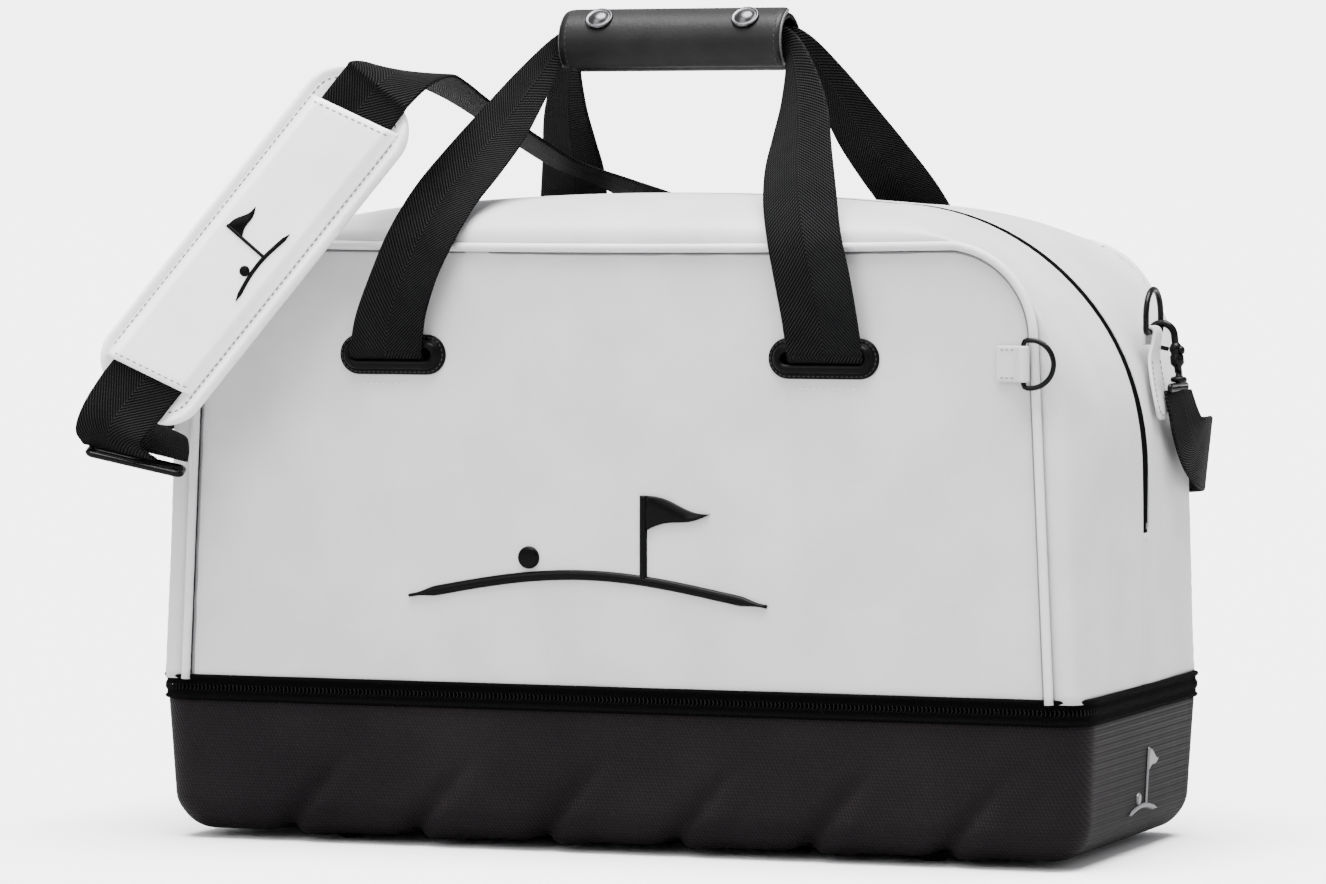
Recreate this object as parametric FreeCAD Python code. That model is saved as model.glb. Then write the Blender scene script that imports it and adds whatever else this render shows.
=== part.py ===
"""Golf shoe bag: soft upper bag on a moulded shoe tray, twin handles and a shoulder strap.

Frame: X right along the front, Y to the back, Z up, millimetres. The origin is on the ground
under the middle of the bag. Each function makes one sub-part at its place in the closed bag.
"""
import FreeCAD
import Part
import math
import os

V = FreeCAD.Vector
UP = V(0, 0, 1)

# Overall sizes
BELT_X = 240.0            # half length over the zip belt
BELT_Y = 104.0            # half depth over the zip belt
BELT_CORNER = 18.0        # plan radius of the belt's corners
BELT_LOW = 70.0           # underside of the belt
SPLIT_Z = 75.9            # where the two halves of the shoe zip meet
BELT_TOP = 82.0           # top of the belt, where the soft panels start
TAPE_WALL = 4.0

# Moulded tray
SHELL_X = 237.0
SHELL_Y = 101.0
SHELL_LOW = 4.0
SHELL_DRAFT = 3.5
SHELL_ROUND = 22.0        # radius of the bottom edge
SHELL_WALL = 4.0
FOOT_X = 152.0
FOOT_Y = 84.0
FOOT_R = 7.0

# Soft upper: the seam outline at the front, and the crown outline at the middle of the depth
SEAM = dict(base=224.0, side=(216.0, 254.0), corner=(202.1, 284.1), top=(175.0, 296.5), peak=294.8)
CROWN = dict(base=239.0, side=(240.0, 185.0), corner=(206.4, 273.6), top=(114.0, 315.2), peak=320.5)
PANEL = 3.0               # thickness of the gusset
PANEL_THIN = 2.5          # thickness of the front and back panels
SLIT = 3.0                # width of the zip slit in the gusset
SLIT_END = 156.5          # height of the slit's ends
PIPING_R = 2.2

# Mark on the front
EMBLEM_LEFT = -102.0
EMBLEM_LENGTH = 185.0
EMBLEM_LOW = 127.0

# Handles
GROMMET_X = 111.0
GROMMET_Z = 241.5
WEB = 2.2                 # webbing thickness
WEB_HALF = 19.0           # half the webbing's width
GRIP_Z = 395.0
GRIP_HALF = 57.0
GRIP_DEPTH = 17.5
GRIP_RISE = 14.5
SNAP_X = 38.5
FLAP_LOW = 383.5

# Rings and hooks
WIRE = 1.5
RING_BAR = V(232.8, 35, 252)
RING_R = 13.0
HOOK_Y = 43.0

# Pad
PAD_LENGTH = 198.0
PAD_WIDTH = 59.5
PAD_THICK = 8.0
PAD_LOW_END = V(-235.5, -140, 217.5)
PAD_HIGH_END = V(-112, -117, 371)

PARTS = {}


def box(low, high):
    size = V(*high) - V(*low)
    return Part.makeBox(size.x, size.y, size.z, V(*low))


def join(shapes):
    result = shapes[0]
    for shape in shapes[1:]:
        result = result.fuse(shape)
    return result.removeSplitter()


def mirror_x(shape):
    return shape.mirror(V(0, 0, 0), V(1, 0, 0))


def mirror_y(shape):
    return shape.mirror(V(0, 0, 0), V(0, 1, 0))


def rounded_rectangle(half_x, half_y, radius, z):
    """A closed wire of four sides and four corner arcs at height z."""
    edges = []
    corners = [(1, -1, -90), (1, 1, 0), (-1, 1, 90), (-1, -1, 180)]
    arcs = []
    for side_x, side_y, start in corners:
        centre = V(side_x * (half_x - radius), side_y * (half_y - radius), z)
        angles = [math.radians(start + turn) for turn in (0, 45, 90)]
        arcs.append([centre + V(radius * math.cos(a), radius * math.sin(a), 0) for a in angles])
    for here, following in zip(arcs, arcs[1:] + arcs[:1]):
        edges.append(Part.Arc(*here).toShape())
        edges.append(Part.LineSegment(here[2], following[0]).toShape())
    return Part.Wire(edges)


def prism(wire, z_high):
    return Part.Face(wire).extrude(V(0, 0, z_high - wire.BoundBox.ZMin))


def belt_ring(z_low, z_high, inset=0.0, wall=TAPE_WALL):
    outer = rounded_rectangle(BELT_X - inset, BELT_Y - inset, BELT_CORNER - inset, z_low)
    inner = rounded_rectangle(BELT_X - inset - wall, BELT_Y - inset - wall, BELT_CORNER - inset - wall, z_low)
    return prism(outer, z_high).cut(prism(inner, z_high))


# ---------------------------------------------------------------- tray

def tray_solid(inset, z_low, z_high):
    """The tray's outer form, or its cavity when inset: drafted sides and a rounded bottom edge."""
    round_r = SHELL_ROUND - inset
    wires = []
    for turn in (20, 45, 70, 90):
        side = round_r * (1 - math.sin(math.radians(turn)))
        height = round_r * (1 - math.cos(math.radians(turn)))
        step_in = inset + SHELL_DRAFT * (1 - height / (z_high - z_low)) + side
        corner = max(SHELL_ROUND + 2 - inset - side, 2.0)
        wires.append(rounded_rectangle(SHELL_X - step_in, SHELL_Y - step_in, corner, z_low + height))
    first = wires[0].BoundBox
    ground = rounded_rectangle(first.XMax - 6, first.YMax - 6, 3.0, z_low)
    wires.insert(0, ground)
    wires.append(rounded_rectangle(SHELL_X - inset, SHELL_Y - inset, SHELL_ROUND - inset, z_high))
    return Part.makeLoft(wires, True, True)


def shell():
    cavity = tray_solid(SHELL_WALL, SHELL_LOW + SHELL_WALL, BELT_LOW + 0.01)
    return tray_solid(0, SHELL_LOW, BELT_LOW).cut(cavity)


def base_board():
    half_x = SHELL_X - SHELL_WALL - SHELL_ROUND - 2
    half_y = SHELL_Y - SHELL_WALL - SHELL_ROUND - 2
    low = SHELL_LOW + SHELL_WALL
    return prism(rounded_rectangle(half_x, half_y, 12, low), low + 2.5)


def feet():
    studs = []
    for side_x in (-1, 1):
        for side_y in (-1, 1):
            place = V(side_x * FOOT_X, side_y * (FOOT_Y - SHELL_ROUND), 0)
            studs.append(Part.makeCone(FOOT_R - 1.5, FOOT_R, SHELL_LOW, place))
    return Part.makeCompound(studs)


def hinge_tape(z_low, z_high):
    return box((-190, BELT_Y, z_low), (190, BELT_Y + 1, z_high))


def flag_emblem(size, depth):
    """A plain golf flag standing in a ground line with a ball beside it, in the XZ plane."""
    pole = box((-0.03 * size, 0, 0.06 * size), (0.03 * size, depth, size))
    cloth_points = [V(0.03, 0, 0.98), V(0.55, 0, 0.80), V(0.03, 0, 0.62), V(0.03, 0, 0.98)]
    cloth = Part.Face(Part.makePolygon([p * size for p in cloth_points])).extrude(V(0, depth, 0))
    ground = box((-0.75 * size, 0, 0), (0.75 * size, depth, 0.06 * size))
    ball = Part.makeCylinder(0.11 * size, depth, V(-0.38 * size, 0, 0.17 * size), V(0, 1, 0))
    return join([pole, cloth, ground, ball])


def tray_emblem():
    mark = flag_emblem(26, 0.6)
    mark.rotate(V(0, 0, 0), UP, 90)
    mark.translate(V(BELT_X - 4.2 + 0.8, 5, 24))
    return mark


# ---------------------------------------------------------------- soft upper

def crowned(depth_y, power):
    """How far the gusset has risen from seam to crown at this depth, 0 to 1."""
    return (1 - min(abs(depth_y) / BELT_Y, 1) ** power) ** (1 / power)


def upper_outline(depth_y, inset=0.0, z_low=BELT_TOP):
    """The U outline at one depth: straight sides, round shoulders and a gently curved top."""
    low = crowned(depth_y, 7)
    high = crowned(depth_y, 2.6)

    def mix(key, share, axis=None):
        a = SEAM[key] if axis is None else SEAM[key][axis]
        b = CROWN[key] if axis is None else CROWN[key][axis]
        return a + (b - a) * share

    base = mix("base", low) - inset
    side = V(mix("side", low, 0) - inset, depth_y, mix("side", high, 1))
    corner = V(mix("corner", high, 0) - 0.72 * inset, depth_y, mix("corner", high, 1) - 0.7 * inset)
    top = V(mix("top", high, 0), depth_y, mix("top", high, 1) - inset)
    peak = V(0, depth_y, mix("peak", high) - inset)

    def flip(p):
        return V(-p.x, p.y, p.z)

    foot = V(base, depth_y, z_low)
    return Part.Wire([
        Part.LineSegment(foot, side).toShape(),
        Part.Arc(side, corner, top).toShape(),
        Part.Arc(top, peak, flip(top)).toShape(),
        Part.Arc(flip(top), flip(corner), flip(side)).toShape(),
        Part.LineSegment(flip(side), flip(foot)).toShape(),
        Part.LineSegment(flip(foot), foot).toShape()])


def gusset():
    depths = [-104, -102.5, -97, -84, -56, 0, 56, 84, 97, 102.5, 104]
    outer = Part.makeLoft([upper_outline(y) for y in depths], True, True)
    shrink = 1 - PANEL / BELT_Y
    places = [(-BELT_Y, -BELT_Y - 2)] + [(y, y * shrink) for y in depths] + [(BELT_Y, BELT_Y + 2)]
    inner_wires = []
    for depth, place in places:
        wire = upper_outline(depth, PANEL, BELT_TOP - 5)
        wire.translate(V(0, place - depth, 0))
        inner_wires.append(wire)
    band = outer.cut(Part.makeLoft(inner_wires, True, True))
    slit = box((-300, -SLIT / 2, SLIT_END), (300, SLIT / 2, 400))
    return band.cut(slit)


def flat_panel(side):
    """The front (side -1) or back (side 1) panel, inside the end of the gusset."""
    wire = upper_outline(-BELT_Y, PANEL + 0.5)
    panel = Part.Face(wire).extrude(V(0, PANEL_THIN, 0))
    for x in (-GROMMET_X, GROMMET_X):
        panel = panel.cut(slot_solid(x, 42, 6, -BELT_Y - 1, -BELT_Y + 5))
    return panel if side < 0 else mirror_y(panel)


def piping(side):
    """A round cord along the seam, standing on the edge of the panel."""
    wire = upper_outline(-BELT_Y, 1.5)
    path = Part.Wire(wire.Edges[:5])
    path.translate(V(0, -PIPING_R - 0.1, 0))
    start = path.Edges[0].valueAt(path.Edges[0].FirstParameter)
    ring = Part.Wire(Part.makeCircle(PIPING_R, start, UP))
    cord = path.makePipeShell([ring], True, False)
    return cord if side < 0 else mirror_y(cord)


def crown_band(offset_out, offset_in, half_width, z_low):
    """A U band under the middle of the gusset, between two depths below its surface."""
    outer = Part.Face(upper_outline(0, offset_out, z_low))
    inner = Part.Face(upper_outline(0, offset_in, z_low - 5))
    band = outer.extrude(V(0, 2 * half_width, 0)).cut(inner.extrude(V(0, 2 * half_width, 0)))
    band.translate(V(0, -half_width, 0))
    return band


def zip_end_stops():
    stops = [box((BELT_X - 3.4, -1.3, SLIT_END + 1), (BELT_X - 0.2, 1.3, SLIT_END + 4))]
    stops.append(mirror_x(stops[0]))
    return Part.makeCompound(stops)


def divider_floor():
    return prism(rounded_rectangle(BELT_X - 6, BELT_Y - 8, 14, BELT_TOP - 4), BELT_TOP - 1.5)


def slot_solid(x, length, height, y_low, y_high, z=GROMMET_Z):
    """A plate with round ends in the XZ plane, centred on (x, z)."""
    r = height / 2
    half = length / 2 - r
    body = box((x - half, y_low, z - r), (x + half, y_high, z + r))
    ends = [Part.makeCylinder(r, y_high - y_low, V(x + s * half, y_low, z), V(0, 1, 0)) for s in (-1, 1)]
    return join([body] + ends)


def grommets(side):
    """Two oval eyelets: a flat welt and a raised ring round the slot for the webbing."""
    rings = []
    for x in (-GROMMET_X, GROMMET_X):
        welt = slot_solid(x, 54, 19.5, -BELT_Y - 1.4, -BELT_Y)
        rim = slot_solid(x, 48, 14.5, -BELT_Y - 4.4, -BELT_Y - 1.4)
        ring = join([welt, rim]).cut(slot_solid(x, 41, 5, -BELT_Y - 6, -BELT_Y + 1))
        rings.append(ring)
    pair = Part.makeCompound(rings)
    return pair if side < 0 else mirror_y(pair)


def webbing_tails(side):
    """The ends of the handle webbing: through the eyelet and down the inside of the panel."""
    tails = []
    for x in (-GROMMET_X, GROMMET_X):
        through = box((x - WEB_HALF, -108.5, GROMMET_Z - 1.1), (x + WEB_HALF, -99.2, GROMMET_Z + 1.1))
        inside = box((x - WEB_HALF, -101.4, GROMMET_Z - 38), (x + WEB_HALF, -99.2, GROMMET_Z))
        tails.append(join([through, inside]))
    pair = Part.makeCompound(tails)
    return pair if side < 0 else mirror_y(pair)


def front_emblem():
    """A raised golf mark: a long rolling ground line, a flag standing on it and a ball."""
    high = -BELT_Y
    low = high - 2.4

    def plate(points):
        return Part.Face(Part.makePolygon(points + points[:1])).extrude(V(0, high - low, 0))

    hill = []
    for edge, step in ((-2.4, 1), (2.4, -1)):
        for i in range(0, 33)[::step]:
            t = i / 32
            rise = 9 * math.sin(math.pi * (1.25 * t - 0.1))
            hill.append(V(EMBLEM_LEFT + t * EMBLEM_LENGTH, low, EMBLEM_LOW + rise + edge))
    pole_x = EMBLEM_LEFT + 0.66 * EMBLEM_LENGTH
    top = EMBLEM_LOW + 48
    pole = box((pole_x - 1.8, low, EMBLEM_LOW + 8), (pole_x + 1.8, high, top))
    cloth = plate([V(pole_x + 1, low, top), V(pole_x + 34, low, top - 8.5), V(pole_x + 1, low, top - 17)])
    ball = Part.makeCylinder(5.5, high - low, V(EMBLEM_LEFT + 0.34 * EMBLEM_LENGTH, low, EMBLEM_LOW + 17), V(0, 1, 0))
    return Part.makeCompound([join([plate(hill), pole, cloth]), ball])


# ---------------------------------------------------------------- webbing

def smooth(points, steps):
    """Points along a Catmull-Rom curve through the given vectors."""
    padded = [points[0] * 2 - points[1]] + points + [points[-1] * 2 - points[-2]]
    result = []
    for a, b, c, d in zip(padded, padded[1:], padded[2:], padded[3:]):
        for step in range(steps):
            t = step / steps
            result.append((b * 2 + (c - a) * t + (a * 2 - b * 5 + c * 4 - d) * t * t
                           + (b * 3 - a - c * 3 + d) * t ** 3) * 0.5)
    return result + [points[-1]]


def ribbon(stations, steps=3, thickness=WEB):
    """A flat strap through stations, each a centre and half its width as a vector."""
    centres = smooth([V(*centre) for centre, across in stations], steps)
    halves = smooth([V(*across) for centre, across in stations], steps)
    sections = []
    for i, (centre, half) in enumerate(zip(centres, halves)):
        along = centres[min(i + 1, len(centres) - 1)] - centres[max(i - 1, 0)]
        out = half.cross(along).normalize() * (thickness / 2)
        corners = [centre + half + out, centre - half + out, centre - half - out, centre + half - out]
        sections.append(Part.makePolygon(corners + corners[:1]))
    return Part.makeLoft(sections, True, True)


def strap_length(stations):
    line = smooth([V(*centre) for centre, across in stations], 8)
    return sum((b - a).Length for a, b in zip(line, line[1:]))


# A handle leg, from the fold at the eyelet up into the grip. The outer edge becomes the upper one.
LEG_FOOT = [
    ((113.0, -110.0, 242.5), (19, 0, 0)),
]
LEG_TOP = [
    ((61.0, -11.0, 391.5), (2.4, 0, 6.6)),
    ((50.0, -8.0, 395.0), (0.5, 0, 8.2)),
    ((25.0, -8.0, 395.0), (0, 0, 8.2)),
]
# The front handle's right leg and the back handle's left leg stand wide; the other two lean further in.
WIDE_LEG = LEG_FOOT + [
    ((111.5, -113.5, 260.0), (19, 0, 0)),
    ((108.0, -114.5, 280.0), (19, 0, 1)),
    ((103.0, -111.5, 299.0), (18.5, 0, 2)),
    ((96.5, -99.0, 318.0), (18.5, 0, 3)),
    ((88.5, -78.0, 336.0), (17, 0, 5)),
    ((81.0, -54.0, 354.0), (14, 0, 7.5)),
    ((72.0, -31.0, 373.0), (8.5, 0, 8.5)),
] + LEG_TOP
DRAWN_LEG = LEG_FOOT + [
    ((109.0, -113.5, 260.0), (18.5, 0, 0)),
    ((101.5, -114.5, 280.0), (17.5, 0, 1)),
    ((93.5, -111.5, 299.0), (17, 0, 3)),
    ((86.5, -99.0, 318.0), (15.5, 0, 5)),
    ((79.5, -78.0, 336.0), (13.5, 0, 7)),
    ((73.5, -54.0, 354.0), (10.5, 0, 8.5)),
    ((68.0, -31.0, 373.0), (6.5, 0, 8.5)),
] + LEG_TOP


def handle_stations(side):
    right, left = (WIDE_LEG, DRAWN_LEG) if side < 0 else (DRAWN_LEG, WIDE_LEG)
    far = [((-c[0], c[1], c[2]), (-a[0], a[1], a[2])) for c, a in reversed(left)]
    return right + [((0.0, -8.0, 395.0), (0, 0, 8.2))] + far


def handle_webbing(side):
    strap = ribbon(handle_stations(side))
    return strap if side < 0 else mirror_y(strap)


# The shoulder strap from the right hook round the back, over the top and down through the pad.
STRAP_LONG = [
    ((243.5, 41.0, 223.6), (3, 13, 0)),
    ((246.5, 40.0, 214.0), (3, 14, 1)),
    ((248.0, 42.5, 206.0), (3, 14.5, 4)),
    ((248.6, 49.0, 199.5), (2.6, 13.5, 8.5)),
    ((248.3, 60.0, 195.0), (2, 10.5, 13.5)),
    ((247.2, 76.0, 192.0), (1, 6, 17.8)),
    ((241.0, 102.0, 190.0), (1, 3, 18.6)),
    ((227.0, 111.7, 189.0), (1, 1, 19)),
    ((203.0, 114.5, 189.0), (1, 0, 19)),
    ((165.0, 114.5, 192.0), (2, 0, 18.8)),
    ((120.0, 114.5, 199.0), (4, 0, 18.3)),
    ((70.0, 114.5, 211.0), (7, 0, 17.3)),
    ((30.0, 114.5, 228.0), (10, 0, 16.2)),
    ((0.0, 114.5, 252.0), (13, 0, 13.8)),
    ((-22.0, 116.0, 279.0), (15, 0, 11)),
    ((-39.0, 113.0, 300.0), (16.5, -3, 7)),
    ((-48.5, 97.0, 314.5), (16, -9, 3)),
    ((-61.0, 69.0, 325.0), (14, -12.5, 1)),
    ((-76.0, 40.0, 334.0), (12.5, -14.2, 1)),
    ((-84.5, 17.0, 343.5), (12.5, -14.2, 1)),
    ((-94.0, -10.0, 356.0), (13, -13.5, 0.5)),
    ((-100.5, -35.0, 366.5), (14.5, -11, 0)),
    ((-103.5, -62.0, 374.0), (16.5, -7, 0)),
    ((-104.5, -88.0, 378.0), (18.5, -2, -1)),
    ((-106.0, -111.0, 377.8), (17.6, 0, -5.5)),
    ((-110.2, -123.2, 372.8), (15.4, 0, -10.8)),
]

# From the slider's middle bar back up the left side to the left hook.
STRAP_SHORT = [
    ((-225.5, -136.0, 193.0), (17.5, 2.5, -4)),
    ((-229.0, -131.0, 199.5), (17.5, 6.5, -4)),
    ((-234.0, -122.0, 208.0), (15, 8, -8)),
    ((-244.0, -108.0, 213.0), (7, 5, -16)),
    ((-250.0, -85.0, 218.0), (0, 2, -19)),
    ((-251.5, -45.0, 221.5), (0, 1, -19)),
    ((-251.5, -15.0, 222.0), (0, 0, -19)),
    ((-251.0, 10.0, 219.0), (0, 3, -17)),
    ((-247.5, 30.0, 216.0), (-1, 9, -11)),
    ((-244.0, 39.5, 218.0), (-2, 12, -4)),
    ((-243.5, 41.0, 223.6), (-3, 13, 0)),
]


def pad_axes():
    """The pad's centre, and its long, cross and outward directions."""
    centre = (PAD_LOW_END + PAD_HIGH_END) * 0.5
    along = (PAD_HIGH_END - PAD_LOW_END).normalize()
    across = V(along.z, 0, -along.x).normalize()
    outward = along.cross(across).normalize()
    if outward.y > 0:
        outward = outward * -1
    return centre, along, across, outward


def on_pad(shape):
    """Moves a shape built with X along the pad, Y across it and Z outwards to the pad's place."""
    centre, along, across, outward = pad_axes()
    across = outward.cross(along)
    matrix = FreeCAD.Matrix(along.x, across.x, outward.x, centre.x,
                            along.y, across.y, outward.y, centre.y,
                            along.z, across.z, outward.z, centre.z, 0, 0, 0, 1)
    placed = shape.copy()
    placed.transformShape(matrix, True)
    return placed


def shoulder_pad():
    return on_pad(prism(rounded_rectangle(PAD_LENGTH / 2, PAD_WIDTH / 2, 20, -PAD_THICK / 2), PAD_THICK / 2))


def pad_sleeve():
    """The cover sewn on the pad, with a flat tunnel for the webbing."""
    low = PAD_THICK / 2
    cover = prism(rounded_rectangle(82, PAD_WIDTH / 2 - 1, 3, low), low + 4.6)
    tunnel = box((-90, -WEB_HALF - 1, low), (90, WEB_HALF + 1, low + 3.0))
    return on_pad(cover.cut(tunnel))


def pad_emblem():
    mark = flag_emblem(26, 0.6)
    mark.rotate(V(0, 0, 0), V(1, 0, 0), 90)
    mark.translate(V(0, 13, PAD_THICK / 2 + 4.6 + 0.6))
    return on_pad(mark)


def strap_in_pad():
    """The stations of the webbing inside the pad's sleeve, from the top down, and its turn to the slider."""
    centre, along, across, outward = pad_axes()
    across = outward.cross(along)
    level = centre + outward * (PAD_THICK / 2 + 1.5)
    stations = []
    for distance in (96, 78, 0, -80, -98):
        place = level + along * distance
        half = across * -WEB_HALF
        stations.append(((place.x, place.y, place.z), (half.x, half.y, half.z)))
    return stations


STRAP_LOOP = [
    ((-241.5, -149.5, 207.5), (15, 1, -9)),
    ((-243.0, -148.0, 199.5), (17.3, 3, -5.5)),
    ((-240.5, -142.5, 194.0), (18.2, 4, -4)),
]


def adjuster():
    """The slider frame that takes the webbing's loop: two long bars joined at the ends."""
    frame = box((-25, -8, -1.3), (25, 8, 1.3)).cut(box((-21, -5, -3), (21, 5, 3)))
    return place_adjuster(frame)


def adjuster_bar():
    return place_adjuster(Part.makeCylinder(1.3, 42, V(-21, 0, 0), V(1, 0, 0)))


def place_adjuster(shape):
    placed = shape.copy()
    placed.rotate(V(0, 0, 0), V(1, 0, 0), 12)
    placed.rotate(V(0, 0, 0), V(0, 1, 0), 13)
    placed.rotate(V(0, 0, 0), UP, 19)
    placed.translate(V(-234.0, -138.0, 189.0))
    return placed


# ---------------------------------------------------------------- grip

def grip_tube(depth, rise, wall, half_length):
    def oval(d, r):
        ellipse = Part.Ellipse(V(0, 0, 0), d, r).toShape()
        face = Part.Face(Part.Wire(ellipse))
        face.rotate(V(0, 0, 0), V(1, 0, 0), 90)
        face.rotate(V(0, 0, 0), UP, 90)
        face.translate(V(-half_length, 0, GRIP_Z))
        return face.extrude(V(2 * half_length, 0, 0))
    return oval(depth, rise).cut(oval(depth - wall, rise - wall))


def grip_half(side):
    tube = grip_tube(GRIP_DEPTH, GRIP_RISE, 2.5, GRIP_HALF)
    low_y, high_y = (-30, -0.3) if side < 0 else (0.3, 30)
    half = tube.common(box((-60, low_y, 370), (60, high_y, 420))).cut(handle_webbing(side))
    return half.cut(snap_studs()) if side < 0 else half


def snap_place():
    """A snap's point on the roll's surface, above the front, and the direction it faces."""
    turn = math.radians(42)
    point = V(0, -GRIP_DEPTH * math.cos(turn), GRIP_Z + GRIP_RISE * math.sin(turn))
    facing = V(0, -math.cos(turn) / GRIP_DEPTH, math.sin(turn) / GRIP_RISE).normalize()
    return point, facing


def snap_studs():
    point, facing = snap_place()
    studs = [Part.makeCylinder(3.5, 2.0, point + V(x, 0, 0) - facing * 2.6, facing) for x in (-SNAP_X, SNAP_X)]
    return Part.makeCompound(studs)


def snap_caps():
    point, facing = snap_place()
    caps = []
    for x in (-SNAP_X, SNAP_X):
        start = point + V(x, 0, 0) + facing * 2.5
        caps.append(join([Part.makeCylinder(7.0, 0.9, start, facing),
                          Part.makeCone(6.2, 4.2, 1.1, start + facing * 0.9, facing)]))
    return Part.makeCompound(caps)


def grip_flap():
    """The closing flap: up the front of the roll from its underside to a free edge on top."""
    leather = grip_tube(GRIP_DEPTH + 2.2, GRIP_RISE + 2.0, 1.9, GRIP_HALF + 1)
    cover = leather.common(box((-70, -30, FLAP_LOW), (70, 1, 420)))
    return cover.cut(snap_caps())


# ---------------------------------------------------------------- rings and hooks

def round_bar(radius, wire, centre, start, sweep):
    """Part of a ring in the XZ plane, from the start angle upwards from X, both in degrees."""
    bar = Part.makeTorus(radius, wire, V(0, 0, 0), UP, 0, 360, sweep)
    bar.rotate(V(0, 0, 0), UP, start)
    bar.rotate(V(0, 0, 0), V(1, 0, 0), 90)
    bar.translate(centre)
    return bar


def d_ring(radius, legs, wire):
    """A D ring in the XZ plane: its bar along X through the origin, its round side upwards."""
    pieces = [round_bar(radius, wire, V(0, 0, legs), 0, 180),
              Part.makeCylinder(wire, 2 * radius, V(-radius, 0, 0), V(1, 0, 0))]
    for side in (-1, 1):
        pieces.append(Part.makeSphere(wire, V(side * radius, 0, 0)))
        if legs > 0:
            pieces.append(Part.makeCylinder(wire, legs, V(side * radius, 0, 0), UP))
    return join(pieces)


FRONT_BAR = V(211.5, -110.5, 240.0)


def front_d_ring():
    ring = d_ring(11.2, 3.5, 1.25)
    ring.rotate(V(0, 0, 0), V(0, 1, 0), 90)
    ring.translate(FRONT_BAR)
    return ring


def front_ring_tab():
    loop = box((198, -112.9, 231.5), (213.9, -108.6, 248.5))
    tail = box((198, -108.7, 231.5), (208.5, -BELT_Y, 248.5))
    tunnel = Part.makeCylinder(1.45, 30, V(FRONT_BAR.x, FRONT_BAR.y, 225), UP)
    return join([loop, tail]).cut(tunnel)


def side_d_ring():
    ring = d_ring(RING_R, 8.0, WIRE)
    ring.rotate(V(0, 0, 0), UP, 90)
    ring.translate(RING_BAR)
    return ring


def side_tab():
    """The leather tab sewn on the gusset, folded round the ring's bar."""
    x, y, z = RING_BAR
    plate = ribbon([((231.9, y - 3, z - 4), (0, 6, 0)), ((231.7, y - 4, z - 12), (0, 9, 0)),
                    ((236.0, y - 8, z - 26), (0, 10, 0)), ((239.1, y - 11, z - 38), (0, 9.5, 0))],
                   steps=3, thickness=2.0)
    loop = Part.makeCylinder(3.4, 12, V(x, y - 9, z), V(0, 1, 0))
    tunnel = Part.makeCylinder(WIRE + 0.1, 40, V(x, y - 20, z), V(0, 1, 0))
    return join([plate, loop]).cut(tunnel)


BOW_R = 6.5
BOW_WIRE = 1.8
HOOK_BOW = RING_BAR + V(2.0, HOOK_Y - RING_BAR.y, -2.2)
HOOK_FOOT = V(243.5, HOOK_Y, 231.0)


def hook():
    """A snap hook: an open bow over the ring's bar, a barrel and a round foot in the swivel."""
    bow = round_bar(BOW_R, BOW_WIRE, HOOK_BOW, 0, 195)
    shank_top = HOOK_BOW + V(BOW_R, 0, 0)
    axis = HOOK_FOOT - shank_top
    shank = Part.makeCylinder(BOW_WIRE, axis.Length, shank_top, axis)
    barrel = Part.makeCylinder(3.4, 9, shank_top + axis * 0.42, axis)
    return join([bow, Part.makeSphere(BOW_WIRE, shank_top), shank, barrel])


GATE_PIVOT = HOOK_BOW + V(5.2, 0, -6.6)
GATE_TIP = HOOK_BOW + V(-6.0, 0, -4.2)


def gate():
    """The hook's sprung gate, a short bar that closes the bow."""
    return Part.makeCylinder(1.1, (GATE_TIP - GATE_PIVOT).Length - 2.4, GATE_PIVOT + V(-1.6, 0, 0.4),
                             GATE_TIP - GATE_PIVOT)


def swivel():
    """The swivel's cup and the flat loop that the webbing is sewn to."""
    cup = Part.makeCylinder(4.0, 2.8, HOOK_FOOT - UP * 3.6, UP)
    loop = box((-2.0, -16.0, -6.4), (2.0, 14.0, -3.6))
    loop.translate(HOOK_FOOT)
    return join([cup, loop])


# ---------------------------------------------------------------- zip sliders

def top_slider():
    return box((-246.2, -4.6, 158.5), (-241.2, 4.6, 171.5)).cut(
        Part.makeCylinder(1.1, 12, V(-244.2, -6, 168.0), V(0, 1, 0)))


def top_pull():
    """The pull hangs from a pin through the slider."""
    pin = Part.makeCylinder(1.0, 11.4, V(-244.2, -5.7, 168.0), V(0, 1, 0))
    arms = [box((-245.2, side - 0.6, 146), (-243.2, side + 0.6, 169)) for side in (-5.2, 5.2)]
    tab = box((-245.2, -5.8, 128), (-243.2, 5.8, 148))
    return join([pin, tab] + arms)


def base_slider():
    return box((-245.6, 58.5, 71.2), (-240.4, 71.5, 80.6)).cut(
        Part.makeCylinder(1.1, 14, V(-243.6, 68.0, 69), UP))


def base_pull():
    pin = Part.makeCylinder(1.0, 12.0, V(-243.6, 68.0, 69.9), UP)
    arms = [box((-244.6, 67, z - 0.6), (-242.6, 88, z + 0.6)) for z in (70.3, 81.5)]
    tab = box((-244.6, 86, 69.7), (-242.6, 98, 82.1))
    return join([pin, tab] + arms)


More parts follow.
